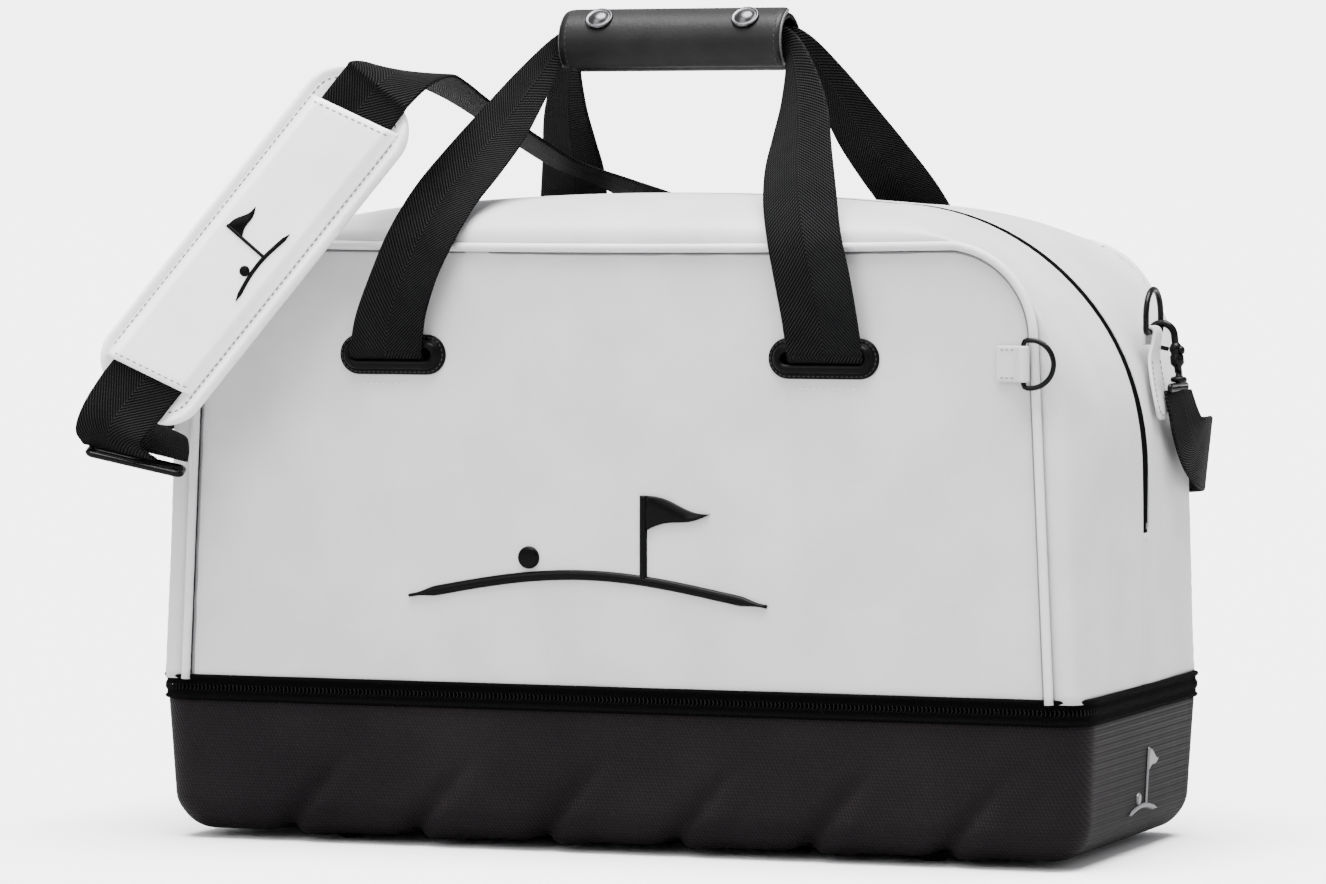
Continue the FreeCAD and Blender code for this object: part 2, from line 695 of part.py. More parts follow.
def build():
    PARTS["shell"] = shell()
    PARTS["base_board"] = base_board()
    PARTS["feet"] = feet()
    PARTS["lower_zip_tape"] = belt_ring(BELT_LOW, SPLIT_Z - 0.9)
    PARTS["lower_zip_coil"] = belt_ring(SPLIT_Z - 0.9, SPLIT_Z - 0.1, 0.8, 2.4)
    PARTS["lower_hinge_tape"] = hinge_tape(64.0, SPLIT_Z - 0.2)
    PARTS["tray_emblem"] = tray_emblem()
    PARTS["upper_zip_tape"] = belt_ring(SPLIT_Z + 0.9, BELT_TOP)
    PARTS["upper_zip_coil"] = belt_ring(SPLIT_Z + 0.1, SPLIT_Z + 0.9, 0.8, 2.4)
    PARTS["upper_hinge_tape"] = hinge_tape(SPLIT_Z + 0.2, BELT_TOP)
    PARTS["divider_floor"] = divider_floor()
    PARTS["gusset"] = gusset()
    PARTS["top_zip_tape"] = crown_band(3.9, 5.0, 13, 150)
    PARTS["top_zip_coil"] = crown_band(1.2, 3.4, 1.2, SLIT_END + 5)
    PARTS["zip_end_stops"] = zip_end_stops()
    for name, side in (("front", -1), ("back", 1)):
        PARTS[name + "_panel"] = flat_panel(side)
        PARTS[name + "_piping"] = piping(side)
        PARTS[name + "_grommets"] = grommets(side)
        PARTS[name + "_webbing_tails"] = webbing_tails(side)
        PARTS[name + "_handle_webbing"] = handle_webbing(side)
        PARTS["grip_" + name] = grip_half(side)
    PARTS["snap_studs"] = snap_studs()
    PARTS["snap_caps"] = snap_caps()
    PARTS["grip_flap"] = grip_flap()
    PARTS["front_emblem"] = front_emblem()
    PARTS["front_d_ring"] = front_d_ring()
    PARTS["front_ring_tab"] = front_ring_tab()
    for name, place in (("right", lambda shape: shape), ("left", mirror_x)):
        PARTS[name + "_side_tab"] = place(side_tab())
        PARTS[name + "_d_ring"] = place(side_d_ring())
        PARTS[name + "_hook"] = place(hook())
        PARTS[name + "_gate"] = place(gate())
        PARTS[name + "_swivel"] = place(swivel())
    long_run = STRAP_LONG + strap_in_pad() + STRAP_LOOP
    PARTS["strap_long_run"] = ribbon(long_run)
    PARTS["strap_short_run"] = ribbon(STRAP_SHORT)
    PARTS["shoulder_pad"] = shoulder_pad()
    PARTS["pad_sleeve"] = pad_sleeve()
    PARTS["pad_emblem"] = pad_emblem()
    PARTS["adjuster"] = adjuster()
    PARTS["adjuster_bar"] = adjuster_bar()
    PARTS["top_slider"] = top_slider()
    PARTS["top_pull"] = top_pull()
    PARTS["base_slider"] = base_slider()
    PARTS["base_pull"] = base_pull()
    print("strap lengths", round(strap_length(long_run)), round(strap_length(STRAP_SHORT)),
          "handles", round(strap_length(handle_stations(-1))), round(strap_length(handle_stations(1))))


def main():
    os.makedirs("parts", exist_ok=True)
    build()
    for name, shape in PARTS.items():
        solids = shape.Solids
        print(name, len(solids), round(sum(s.Volume for s in solids)), shape.isValid())
        shape.exportStep("parts/" + name + ".step")


main()
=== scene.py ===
"""A golf shoe bag: white leather upper, moulded tray, webbing handles and a padded shoulder strap.

Metres throughout: X along the front, Y to the back, Z up, with the ground at Z = 0.
"""
import math

import bpy
import numpy as np
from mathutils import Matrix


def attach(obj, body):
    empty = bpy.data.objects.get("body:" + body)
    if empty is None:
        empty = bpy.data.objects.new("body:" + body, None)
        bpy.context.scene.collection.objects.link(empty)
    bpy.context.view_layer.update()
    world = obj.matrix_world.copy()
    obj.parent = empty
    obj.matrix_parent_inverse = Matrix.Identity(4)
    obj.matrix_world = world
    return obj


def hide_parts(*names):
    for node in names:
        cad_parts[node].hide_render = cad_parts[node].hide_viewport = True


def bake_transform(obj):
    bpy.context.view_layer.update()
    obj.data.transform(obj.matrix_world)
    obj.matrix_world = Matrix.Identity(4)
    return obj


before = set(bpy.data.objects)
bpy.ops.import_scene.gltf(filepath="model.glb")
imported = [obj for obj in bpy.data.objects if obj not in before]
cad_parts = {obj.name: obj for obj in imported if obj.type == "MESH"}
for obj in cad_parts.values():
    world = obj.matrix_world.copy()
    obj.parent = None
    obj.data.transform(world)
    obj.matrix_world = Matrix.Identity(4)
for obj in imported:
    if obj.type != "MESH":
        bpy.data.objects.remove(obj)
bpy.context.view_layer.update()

# Driving dimensions, from the CAD. The tray is drawn 2 to 2.5 mm fuller and the webbing 0.2 mm thinner.
BELT_X = 0.240
BELT_Y = 0.104
BELT_CORNER = 0.018
BELT_LOW = 0.070
BELT_TOP = 0.082
SHELL_X = 0.2395
SHELL_Y = 0.103
SHELL_LOW = 0.004
SHELL_DRAFT = 0.0035
SHELL_ROUND = 0.018
GROOVE_LOW = (-0.171, -0.104, -0.036, 0.032, 0.100, 0.169)
GROOVE_LEAN = 0.035
SEAM = dict(base=0.224, side=(0.216, 0.254), corner=(0.2021, 0.2841), top=(0.175, 0.2965), peak=0.2948)
CROWN = dict(base=0.239, side=(0.240, 0.185), corner=(0.2064, 0.2736), top=(0.114, 0.3152), peak=0.3205)
GROMMET_X = 0.111
GROMMET_Z = 0.2415
SLOT_LENGTH = 0.041
SLOT_HEIGHT = 0.005
TACK_Z = 0.2272
SLIT_HALF = 0.0051
HINGE_HALF = 0.189
HINGE_Y = 0.1052
HINGE_LOW = 0.0655
HINGE_HIGH = 0.0815
WEB = 0.0020
WEB_HALF = 0.019
GRIP_Z = 0.395
GRIP_HALF = 0.057
GRIP_DEPTH = 0.0175
GRIP_RISE = 0.0145
SNAP_X = 0.0385
FLAP_START = math.radians(-52)
FLAP_END = math.radians(88)
FLAP_SWELL = 0.0021
RING_BAR = np.array([0.2328, 0.035, 0.252])
FRONT_BAR = np.array([0.2115, -0.1105, 0.240])
HOOK_BOW = RING_BAR + np.array([0.002, 0.008, -0.0022])
HOOK_FOOT = np.array([0.2435, 0.043, 0.231])
PAD_LENGTH = 0.198
PAD_WIDTH = 0.0595
PAD_LOW_END = np.array([-0.2355, -0.140, 0.2175])
PAD_HIGH_END = np.array([-0.112, -0.117, 0.371])
SLEEVE_LENGTH = 0.164
SLEEVE_WIDTH = 0.0470
SLEEVE_SKEW = -0.27
ADJUSTER_PLACE = np.array([-0.234, -0.138, 0.189])
CLOTH_FRAMES = 20
UP = np.array([0.0, 0.0, 1.0])
TURN = 2 * math.pi

LENS = 163.8
CAMERA_PLACE = (1.0458, -2.8101, 0.3191)
CAMERA_TILT = 2.345
CAMERA_TURN = 20.594
ROOM = (0.75, 0.75, 0.77)
BACKGROUND = (5.0, 5.0, 5.0)


# ---------------------------------------------------------------- camera, floor and light

def add_camera():
    data = bpy.data.cameras.new("camera")
    data.lens = LENS
    data.sensor_width = 36
    camera = bpy.data.objects.new("camera", data)
    camera.location = CAMERA_PLACE
    camera.rotation_euler = (math.radians(90 - CAMERA_TILT), 0, math.radians(CAMERA_TURN))
    bpy.context.collection.objects.link(camera)
    bpy.context.scene.camera = camera


def aim_light(light, place, aim):
    direction = np.array(aim, float) - np.array(place, float)
    flat = math.hypot(direction[0], direction[1])
    light.location = place
    light.rotation_euler = (math.atan2(flat, -direction[2]), 0,
                            math.atan2(direction[1], direction[0]) - math.pi / 2)
    bpy.context.collection.objects.link(light)


def add_softbox(name, place, aim, size, power):
    data = bpy.data.lights.new(name, "AREA")
    data.shape = "RECTANGLE"
    data.size, data.size_y = size
    data.energy = power
    aim_light(bpy.data.objects.new(name, data), place, aim)


def add_sky_light(name, place, strength, spread):
    """A broad even light from far off, which keeps the floor one colour to the horizon."""
    data = bpy.data.lights.new(name, "SUN")
    data.energy = strength
    data.angle = math.radians(spread)
    aim_light(bpy.data.objects.new(name, data), place, (0, 0, 0))


def studio_world():
    """A grey room that the camera sees as the pale background."""
    world = bpy.data.worlds.new("studio")
    world.use_nodes = True
    tree = world.node_tree
    room = tree.nodes["Background"]
    room.inputs["Color"].default_value = (*ROOM, 1)
    seen = node(tree, "ShaderNodeBackground", {"Color": (*BACKGROUND, 1)})
    path = node(tree, "ShaderNodeLightPath")
    mix = node(tree, "ShaderNodeMixShader", {0: path.outputs["Is Camera Ray"], 1: room.outputs[0],
                                             2: seen.outputs[0]})
    tree.links.new(mix.outputs[0], tree.nodes["World Output"].inputs["Surface"])
    bpy.context.scene.world = world


def floor_paper():
    """Pale paper that throws little light back on what stands on it."""
    material = plain("floor", (0.9, 0.9, 0.9), 0.9, specular=0.0)
    tree = material.node_tree
    path = node(tree, "ShaderNodeLightPath")
    return connect(material, Base_Color=tint(path.outputs["Is Camera Ray"], (0.42, 0.42, 0.42),
                                             (0.93, 0.93, 0.935)))


def add_stage():
    studio_world()
    bpy.ops.mesh.primitive_circle_add(vertices=64, radius=400, fill_type="NGON")
    floor = bpy.context.object
    floor.name = "floor"
    floor.data.materials.append(floor_paper())
    add_sky_light("overhead", (0.1, -0.25, 2.0), 15.0, 50)
    add_sky_light("front_left", (-0.9, -2.4, 1.5), 1.6, 40)
    add_softbox("right_side", (2.4, -0.6, 1.3), (0.1, 0, 0.25), (1.2, 1.2), 5)


# ---------------------------------------------------------------- materials

def node(tree, kind, inputs=None, **settings):
    """A new shader node with its settings, and its inputs set or linked."""
    made = tree.nodes.new(kind)
    for key, value in settings.items():
        setattr(made, key, value)
    for key, value in (inputs or {}).items():
        if isinstance(value, bpy.types.NodeSocket):
            tree.links.new(value, made.inputs[key])
        else:
            made.inputs[key].default_value = value
    return made


def calc(operation, *values):
    """One step of arithmetic on one to three values, the first of them a socket."""
    return node(values[0].id_data, "ShaderNodeMath", dict(enumerate(values)), operation=operation).outputs[0]


def times(first, second):
    return calc("MULTIPLY", first, second)


def plus(first, second):
    return calc("ADD", first, second)


def wave(value, pitch):
    """A sine that repeats at every pitch."""
    return calc("SINE", times(value, TURN / pitch))


def split(vector):
    """The X, Y and Z outputs of a vector."""
    return node(vector.id_data, "ShaderNodeSeparateXYZ", {0: vector}).outputs


def plain(name, colour, roughness, metallic=0.0, specular=0.5, sheen=0.0):
    material = bpy.data.materials.new(name)
    material.use_nodes = True
    shader = material.node_tree.nodes["Principled BSDF"]
    shader.inputs["Base Color"].default_value = (*colour, 1)
    shader.inputs["Roughness"].default_value = roughness
    shader.inputs["Metallic"].default_value = metallic
    shader.inputs["Specular IOR Level"].default_value = specular
    shader.inputs["Sheen Weight"].default_value = sheen
    material.diffuse_color = (*colour, 1)
    return material


def place_coordinates(tree):
    """The piece's own coordinates in metres."""
    return node(tree, "ShaderNodeTexCoord").outputs["Object"]


def bump(height, distance, strength, below=None):
    inputs = {"Height": height, "Distance": distance, "Strength": strength}
    if below is not None:
        inputs["Normal"] = below
    return node(height.id_data, "ShaderNodeBump", inputs).outputs[0]


def noise(vector, scale, detail):
    inputs = {"Vector": vector, "Scale": scale, "Detail": detail}
    return node(vector.id_data, "ShaderNodeTexNoise", inputs).outputs["Fac"]


def tint(factor, dark, light):
    inputs = {"Factor": factor, 6: (*dark, 1), 7: (*light, 1)}
    return node(factor.id_data, "ShaderNodeMix", inputs, data_type="RGBA").outputs[2]


def ramp(value, low, high):
    """The value stretched so that low to high becomes 0 to 1."""
    inputs = {"Value": value, "From Min": low, "From Max": high}
    return node(value.id_data, "ShaderNodeMapRange", inputs).outputs[0]


def grey(level, blue=None):
    """A neutral colour, or one with a little more blue."""
    return (level, level, blue or level)


def connect(material, **links):
    """Links outputs to the main shader's inputs, named with underscores for spaces."""
    shader = material.node_tree.nodes["Principled BSDF"]
    for key, value in links.items():
        material.node_tree.links.new(value, shader.inputs[key.replace("_", " ")])
    return material


def leather(name, dark, light, roughness, grain, crease, pebble=900, specular=0.42):
    """Coated leather: fine pebbled grain over soft broad creases, with a slightly uneven gloss."""
    material = plain(name, light, roughness, specular=specular)
    tree = material.node_tree
    where = place_coordinates(tree)
    cells = node(tree, "ShaderNodeTexVoronoi", {"Vector": where, "Scale": pebble, "Randomness": 1.0},
                 feature="SMOOTH_F1").outputs["Distance"]
    broad = noise(where, 9, 2)
    soft = bump(broad, crease, 0.6)
    fine = bump(cells, grain, 0.6, soft)
    blotch = noise(where, 26, 4)
    gloss = calc("MULTIPLY_ADD", noise(where, 160, 3), 0.16, roughness - 0.08)
    return connect(material, Base_Color=tint(ramp(blotch, 0.35, 0.65), dark, light),
                   Roughness=gloss, Normal=fine)


def woven_strap():
    """Black webbing: a herringbone twill that meets at a spine, from the strap's own width and length."""
    material = plain("webbing", grey(0.010, 0.0105), 0.6, specular=0.03)
    tree = material.node_tree
    side, length = split(node(tree, "ShaderNodeUVMap").outputs[0])[:2]
    across = calc("ABSOLUTE", side)
    slant = plus(length, times(across, 1.25))
    twill = wave(slant, 0.0021)
    yarn = wave(across, 0.0012)
    spine = times(ramp(across, 0.0007, 0.0), -1.2)
    edge = times(ramp(across, 0.0174, 0.0182), 0.8)
    weave = plus(times(twill, 0.7), times(yarn, 0.3))
    height = plus(weave, plus(spine, edge))
    wear = noise(place_coordinates(tree), 70, 3)
    shade = times(ramp(weave, -0.4, 1.0), plus(wear, 0.45))
    rough = ramp(weave, 3.2, -1.6)
    return connect(material, Base_Color=tint(shade, grey(0.0012, 0.0013), grey(0.0170, 0.0174)),
                   Normal=bump(height, 0.00035, 0.9), Roughness=rough)


def moulded_shell():
    """Charcoal moulded foam: a fine slanted hatch on the long sides and fine level lines round the ends."""
    material = plain("moulded_eva", (0.010, 0.0085, 0.0095), 0.55, specular=0.05)
    tree = material.node_tree
    where = place_coordinates(tree)
    x, y, z = split(where)
    ribs = wave(plus(x, times(z, 0.45)), 0.0019)
    levels = wave(z, 0.0016)
    hatch = plus(times(ribs, 0.6), times(levels, 0.4))
    height = bump(hatch, 0.00022, 0.8, bump(noise(where, 30, 2), 0.0012, 0.4))
    blotch = noise(where, 18, 3)
    shade = plus(times(ramp(hatch, -0.6, 1.0), 0.45), times(ramp(blotch, 0.3, 0.7), 0.4))
    return connect(material, Base_Color=tint(shade, (0.0044, 0.0036, 0.0041), (0.0140, 0.0115, 0.0131)),
                   Normal=height)


def zip_cloth():
    """Black zip tape: a tight plain weave of level yarns."""
    material = plain("zip_tape", grey(0.003), 0.8, specular=0.02)
    tree = material.node_tree
    where = place_coordinates(tree)
    x, y, z = split(where)
    level = wave(z, 0.0011)
    weave = times(level, wave(plus(x, y), 0.0014))
    return connect(material, Normal=bump(weave, 0.00025, 0.9),
                   Base_Color=tint(ramp(weave, -1, 1), grey(0.0006), grey(0.003, 0.0031)))


def speckled(name, dark, light, roughness, scale, depth, **settings):
    """Plastic, rubber, metal or thread with a fine uneven surface."""
    material = plain(name, light, roughness, **settings)
    tree = material.node_tree
    where = place_coordinates(tree)
    spots = noise(where, scale, 3)
    gloss = calc("MULTIPLY_ADD", noise(where, scale * 0.3, 2), 0.14, roughness - 0.07)
    return connect(material, Base_Color=tint(spots, dark, light), Roughness=gloss,
                   Normal=bump(spots, depth, 0.5))


def make_materials():
    return dict(
        white=leather("white_leather", (0.49, 0.487, 0.497), (0.545, 0.543, 0.551), 0.46, 0.00012, 0.0030),
        piping=leather("piping_leather", (0.56, 0.556, 0.568), (0.615, 0.613, 0.622), 0.44, 0.0001, 0.0006),
        pad=leather("pad_leather", (0.86, 0.857, 0.865), grey(0.93, 0.935), 0.46, 0.00012, 0.0012),
        lining=speckled("lining_cloth", grey(0.10, 0.105), grey(0.16, 0.165), 0.85, 1400, 0.0003, sheen=0.2),
        webbing=woven_strap(),
        shell=moulded_shell(),
        tape=zip_cloth(),
        coil=speckled("zip_coil", grey(0.001), grey(0.004), 0.42, 900, 0.0001, specular=0.08),
        eyelet=speckled("eyelet", grey(0.0006), grey(0.0016), 0.34, 700, 0.00006, specular=0.06),
        metal=speckled("black_metal", grey(0.0006), grey(0.0018), 0.26, 500, 0.00004, specular=0.12),
        snap=speckled("snap_metal", grey(0.055, 0.058), grey(0.10, 0.105), 0.28, 500, 0.00004, metallic=1.0),
        grip=leather("grip_leather", grey(0.004, 0.0042), grey(0.010, 0.0105), 0.46, 0.00012, 0.0006, 650,
                     specular=0.16),
        roll=leather("roll_leather", grey(0.0005), (0.0014, 0.0013, 0.0013), 0.5, 0.0001, 0.0005, 650,
                     specular=0.04),
        edge=speckled("leather_edge", grey(0.04), grey(0.08), 0.5, 900, 0.0001),
        gloss=speckled("emblem_gloss", grey(0.0006, 0.0007), grey(0.0016, 0.0017), 0.22, 300, 0.00003,
                       specular=0.07),
        silver=speckled("emblem_silver", grey(0.10, 0.105), grey(0.16, 0.165), 0.36, 600, 0.00005,
                        metallic=0.5),
        rubber=speckled("foot_rubber", grey(0.002), grey(0.006), 0.7, 900, 0.0002, specular=0.2),
        board=speckled("board", grey(0.028, 0.03), grey(0.05, 0.053), 0.8, 1100, 0.0003),
        white_thread=speckled("white_thread", grey(0.60, 0.61), grey(0.78, 0.79), 0.6, 2500, 0.0002),
        # Grey thread for the real stitches, also used for the painted seam shade beside the welts.
        grey_thread_and_seam_shade=speckled("grey_thread_and_seam_shade", grey(0.10, 0.106), grey(0.20, 0.207), 0.6, 2500, 0.0002),
        dark_thread=speckled("dark_thread", grey(0.001), grey(0.004), 0.6, 2500, 0.0002),
    )


# ---------------------------------------------------------------- forms: (points, faces, flat coordinates)

def unit(v):
    v = np.asarray(v, float)
    return v / np.maximum(np.linalg.norm(v, axis=-1, keepdims=True), 1e-12)


def grid_faces(rows, columns, wrap=False):
    steps = np.arange(columns if wrap else columns - 1)
    following = (steps + 1) % columns
    faces = []
    for row in range(rows - 1):
        low = row * columns
        quads = np.stack([low + steps, low + following, low + columns + following, low + columns + steps], -1)
        faces.extend(quads.tolist())
    return faces


def ringed(rings, first=True, last=True, flat=None):
    """A form from closed rings of the same number of points, capped at its first and its last ring."""
    columns = len(rings[0])
    faces = grid_faces(len(rings), columns, wrap=True)
    if first:
        faces.append(list(range(columns))[::-1])
    if last:
        faces.append([(len(rings) - 1) * columns + k for k in range(columns)])
    return np.vstack(rings), faces, flat


def sheet(rows):
    """An open form from rows of the same number of points."""
    return np.vstack(rows), grid_faces(len(rows), len(rows[0])), None


def around(count):
    """Angles evenly round a circle."""
    return np.linspace(0, TURN, count, endpoint=False)


def circle(count):
    """Points evenly round a circle of radius 1."""
    turns = around(count)
    return np.column_stack([np.cos(turns), np.sin(turns)])


def at_height(flat, z):
    """Flat points as seen from above, at one height or at a height each."""
    return np.column_stack([flat, np.broadcast_to(z, len(flat))])


def at_depth(flat, y):
    """Flat points as seen from the front, at one depth or at a depth each."""
    return np.column_stack([flat[:, 0], np.broadcast_to(y, len(flat)), flat[:, 1]])


def mm(*rows):
    return np.array(rows, float) / 1000


def stations(*rows, origin=(0, 0, 0)):
    """A strap's stations from rows of millimetres: a centre, then half the strap's width as a vector."""
    return [(row[:3] + origin, row[3:]) for row in mm(*rows)]


def smooth(points, steps):
    """Points along a Catmull-Rom curve through the given ones."""
    points = np.asarray(points, float)
    padded = np.vstack([2 * points[0] - points[1], points, 2 * points[-1] - points[-2]])
    t = np.linspace(0, 1, steps, endpoint=False)[:, None]
    runs = []
    for a, b, c, d in zip(padded, padded[1:], padded[2:], padded[3:]):
        runs.append(0.5 * (2 * b + (c - a) * t + (2 * a - 5 * b + 4 * c - d) * t ** 2
                           + (3 * b - a - 3 * c + d) * t ** 3))
    return np.vstack(runs + [points[-1:]])


def spaced(path, pitch):
    """Points and directions every pitch along a path."""
    path = np.asarray(path, float)
    lengths = np.concatenate([[0], np.cumsum(np.linalg.norm(np.diff(path, axis=0), axis=1))])
    count = max(int(lengths[-1] / pitch), 1)
    marks = (np.arange(count) + 0.5) * lengths[-1] / count
    points = np.stack([np.interp(marks, lengths, path[:, k]) for k in range(3)], -1)
    ahead = np.stack([np.interp(marks + 1e-4, lengths, path[:, k]) for k in range(3)], -1)
    back = np.stack([np.interp(marks - 1e-4, lengths, path[:, k]) for k in range(3)], -1)
    return points, unit(ahead - back)


def tube(path, radius, closed=False, sides=12, start=None):
    """A round bar along a path; its radius may change along it."""
    path = np.asarray(path, float)
    count = len(path)
    radius = np.broadcast_to(np.asarray(radius, float), (count,))
    if closed:
        tangent = unit(np.roll(path, -1, 0) - np.roll(path, 1, 0))
    else:
        tangent = unit(np.gradient(path, axis=0))
    side = start if start is not None else np.cross(tangent[0], UP if abs(tangent[0][2]) < 0.9 else (1, 0, 0))
    rings = []
    turns = around(sides)
    for i in range(count):
        side = unit(side - tangent[i] * np.dot(side, tangent[i]))
        other = np.cross(tangent[i], side)
        ring = np.outer(np.cos(turns), side) + np.outer(np.sin(turns), other)
        rings.append(path[i] + ring * radius[i])
    points, faces, flat = ringed(rings, not closed, not closed)
    if closed:
        last = (count - 1) * sides
        for k in range(sides):
            faces.append([last + k, last + (k + 1) % sides, (k + 1) % sides, k])
    return points, faces, flat


def lathe(profile, centre, axis, sides=40):
    """A turned form: profile of (radius, height) along the axis."""
    axis = unit(axis)
    first = unit(np.cross(axis, (1, 0, 0) if abs(axis[0]) < 0.9 else (0, 1, 0)))
    second = np.cross(axis, first)
    turns = around(sides)
    circle = np.outer(np.cos(turns), first) + np.outer(np.sin(turns), second)
    return ringed([np.asarray(centre) + circle * max(radius, 1e-6) + axis * height for radius,
                   height in profile])


def ribbon(stations, steps=8, thickness=WEB):
    """A flat strap with round edges through stations, each a centre and half its width as a vector."""
    centres = smooth([centre for centre, across in stations], steps)
    halves = smooth([across for centre, across in stations], steps)
    out = unit(np.cross(halves, np.gradient(centres, axis=0)))
    widths = np.linalg.norm(halves, axis=1)
    lengths = np.concatenate([[0], np.cumsum(np.linalg.norm(np.diff(centres, axis=0), axis=1))])
    spread = np.array([-1, -0.99, -0.955, -0.9, -0.6, -0.3, 0, 0.3, 0.6, 0.9, 0.955, 0.99, 1])
    lift = np.array([0.12, 0.62, 0.93, 1, 1, 1, 1, 1, 1, 1, 0.93, 0.62, 0.12]) * thickness / 2
    loop_spread = np.concatenate([spread, spread[::-1]])
    loop_lift = np.concatenate([lift, -lift[::-1]])
    points = (centres[:, None] + halves[:, None] * loop_spread[None, :, None]
              + out[:, None] * loop_lift[None, :, None])
    flat = np.stack([widths[:, None] * loop_spread, np.repeat(lengths[:, None], len(loop_spread), 1)], -1)
    points, faces, flat = ringed(points, flat=flat.reshape(-1, 2))
    return points, [face[::-1] for face in faces], flat


def stitches(path, outs, pitch, length, radius):
    """A row of thread stitches on a path; outs are the surface's outward directions there."""
    points, along = spaced(path, pitch)
    if np.ndim(outs) == 1:
        outs = np.tile(outs, (len(points), 1))
    else:
        marks = np.linspace(0, 1, len(outs))
        outs = np.stack([np.interp(np.linspace(0, 1, len(points)), marks, np.asarray(outs)[:, k])
                         for k in range(3)], -1)
    side = unit(np.cross(outs, along))
    outs = np.cross(along, side)
    shape = [(-0.5, 0.05), (-0.42, 0.6), (-0.2, 1.0), (0.2, 1.0), (0.42, 0.6), (0.5, 0.05)]
    turns = around(6)
    forms = []
    for place, forward, outward, sideways in zip(points, along, outs, side):
        rings = []
        for position, size in shape:
            dip = -0.6 * radius * (abs(position) * 2) ** 2
            ring = np.outer(np.cos(turns), sideways) + np.outer(np.sin(turns), outward) * 0.8
            middle = place + forward * position * length + outward * (dip + radius * 0.25)
            rings.append(middle + ring * radius * size)
        forms.append(ringed(rings))
    return merged(forms)


def block(low, high, rim):
    """A box with chamfered edges."""
    low, high = np.array(low, float), np.array(high, float)
    centre, half = (low + high) / 2, (high - low) / 2
    rings = []
    for level, shrink in ((-1, rim), (-1 + rim / half[2], 0), (1 - rim / half[2], 0), (1, rim)):
        x, y = half[:2] - shrink
        cut = min(rim, x / 2, y / 2)
        ring = np.array([(x, y - cut), (x - cut, y), (-x + cut, y), (-x, y - cut),
                         (-x, -y + cut), (-x + cut, -y), (x - cut, -y), (x, -y + cut)])
        rings.append(centre + at_height(ring, level * half[2]))
    return ringed(rings)


def mirrored(form, signs=(-1, 1, 1)):
    """The same form on the other side: the left, unless the signs say otherwise."""
    points, faces, flat = form
    return points * signs, [list(face)[::-1] for face in faces], flat


def behind(form):
    """The same form on the back."""
    return mirrored(form, (1, -1, 1))


def merged(forms):
    points, faces, flats, base = [], [], [], 0
    for form_points, form_faces, form_flat in forms:
        points.append(form_points)
        faces.extend([[base + k for k in face] for face in form_faces])
        flats.append(form_flat if form_flat is not None else np.zeros((len(form_points), 2)))
        base += len(form_points)
    return np.vstack(points), faces, np.vstack(flats)


def piece(name, form, material, body, replaced=(), slot=None, hard=False):
    """Makes a form into a piece that rides on a body and stands for CAD nodes."""
    points, faces, flat = form
    mesh = bpy.data.meshes.new(name)
    mesh.from_pydata(np.asarray(points).tolist(), [], faces)
    if flat is not None:
        layer = mesh.uv_layers.new(name="UVMap")
        corners = np.empty(len(mesh.loops), int)
        mesh.loops.foreach_get("vertex_index", corners)
        layer.data.foreach_set("uv", np.asarray(flat)[corners].ravel())
    mesh.polygons.foreach_set("use_smooth", [True] * len(mesh.polygons))
    if hard:
        mesh.set_sharp_from_angle(angle=math.radians(38))
    mesh.materials.append(material)
    mesh.update()
    made = bpy.data.objects.new(name, mesh)
    bpy.context.collection.objects.link(made)
    if body:
        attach(made, body)
    if replaced:
        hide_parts(*replaced)
    return made


def held(form):
    """A form as an object for modifiers to work on, until evaluated_form takes it back."""
    mesh = bpy.data.meshes.new("form")
    mesh.from_pydata(np.asarray(form[0]).tolist(), [], form[1])
    holder = bpy.data.objects.new("form", mesh)
    bpy.context.collection.objects.link(holder)
    return holder


def evaluated_form(holder):
    """The form that the holder's modifiers make; the holder is removed."""
    graph = bpy.context.evaluated_depsgraph_get()
    mesh = bpy.data.meshes.new_from_object(holder.evaluated_get(graph))
    points = np.array([vertex.co for vertex in mesh.vertices])
    faces = [list(face.vertices) for face in mesh.polygons]
    bpy.data.meshes.remove(mesh)
    bpy.data.objects.remove(holder)
    return points, faces, None


def thickened(form, thickness, outward_from=(0, 0, 0.2)):
    """A sheet given thickness behind its outer face."""
    holder = held(form)
    mesh = holder.data
    mesh.update()
    middles = np.array([face.center for face in mesh.polygons]) - np.array(outward_from)
    normals = np.array([face.normal for face in mesh.polygons])
    if (middles * normals).sum() < 0:
        mesh.flip_normals()
    modifier = holder.modifiers.new("thickness", "SOLIDIFY")
    modifier.thickness = thickness
    modifier.offset = -1
    return evaluated_form(holder)


# ---------------------------------------------------------------- outlines of the body

def arc_through(a, b, c, count):
    """Points on the circle through a, b and c, from a to c, in the XZ plane."""
    a, b, c = (np.asarray(p, float) for p in (a, b, c))
    sides = 2 * np.array([b - a, c - a])
    centre = np.linalg.solve(sides, np.array([b @ b - a @ a, c @ c - a @ a]))
    first, middle, last = (math.atan2(p[1] - centre[1], p[0] - centre[0]) for p in (a, b, c))
    turn = (last - first) % TURN
    if (middle - first) % TURN > turn:
        turn -= TURN
    angles = first + np.linspace(0, 1, count) * turn
    radius = np.linalg.norm(a - centre)
    return centre + radius * np.stack([np.cos(angles), np.sin(angles)], -1)


def crowned(depth, power):
    """How far the gusset has risen from seam to crown at this depth, 0 to 1."""
    return (1 - min(abs(depth) / BELT_Y, 1) ** power) ** (1 / power)


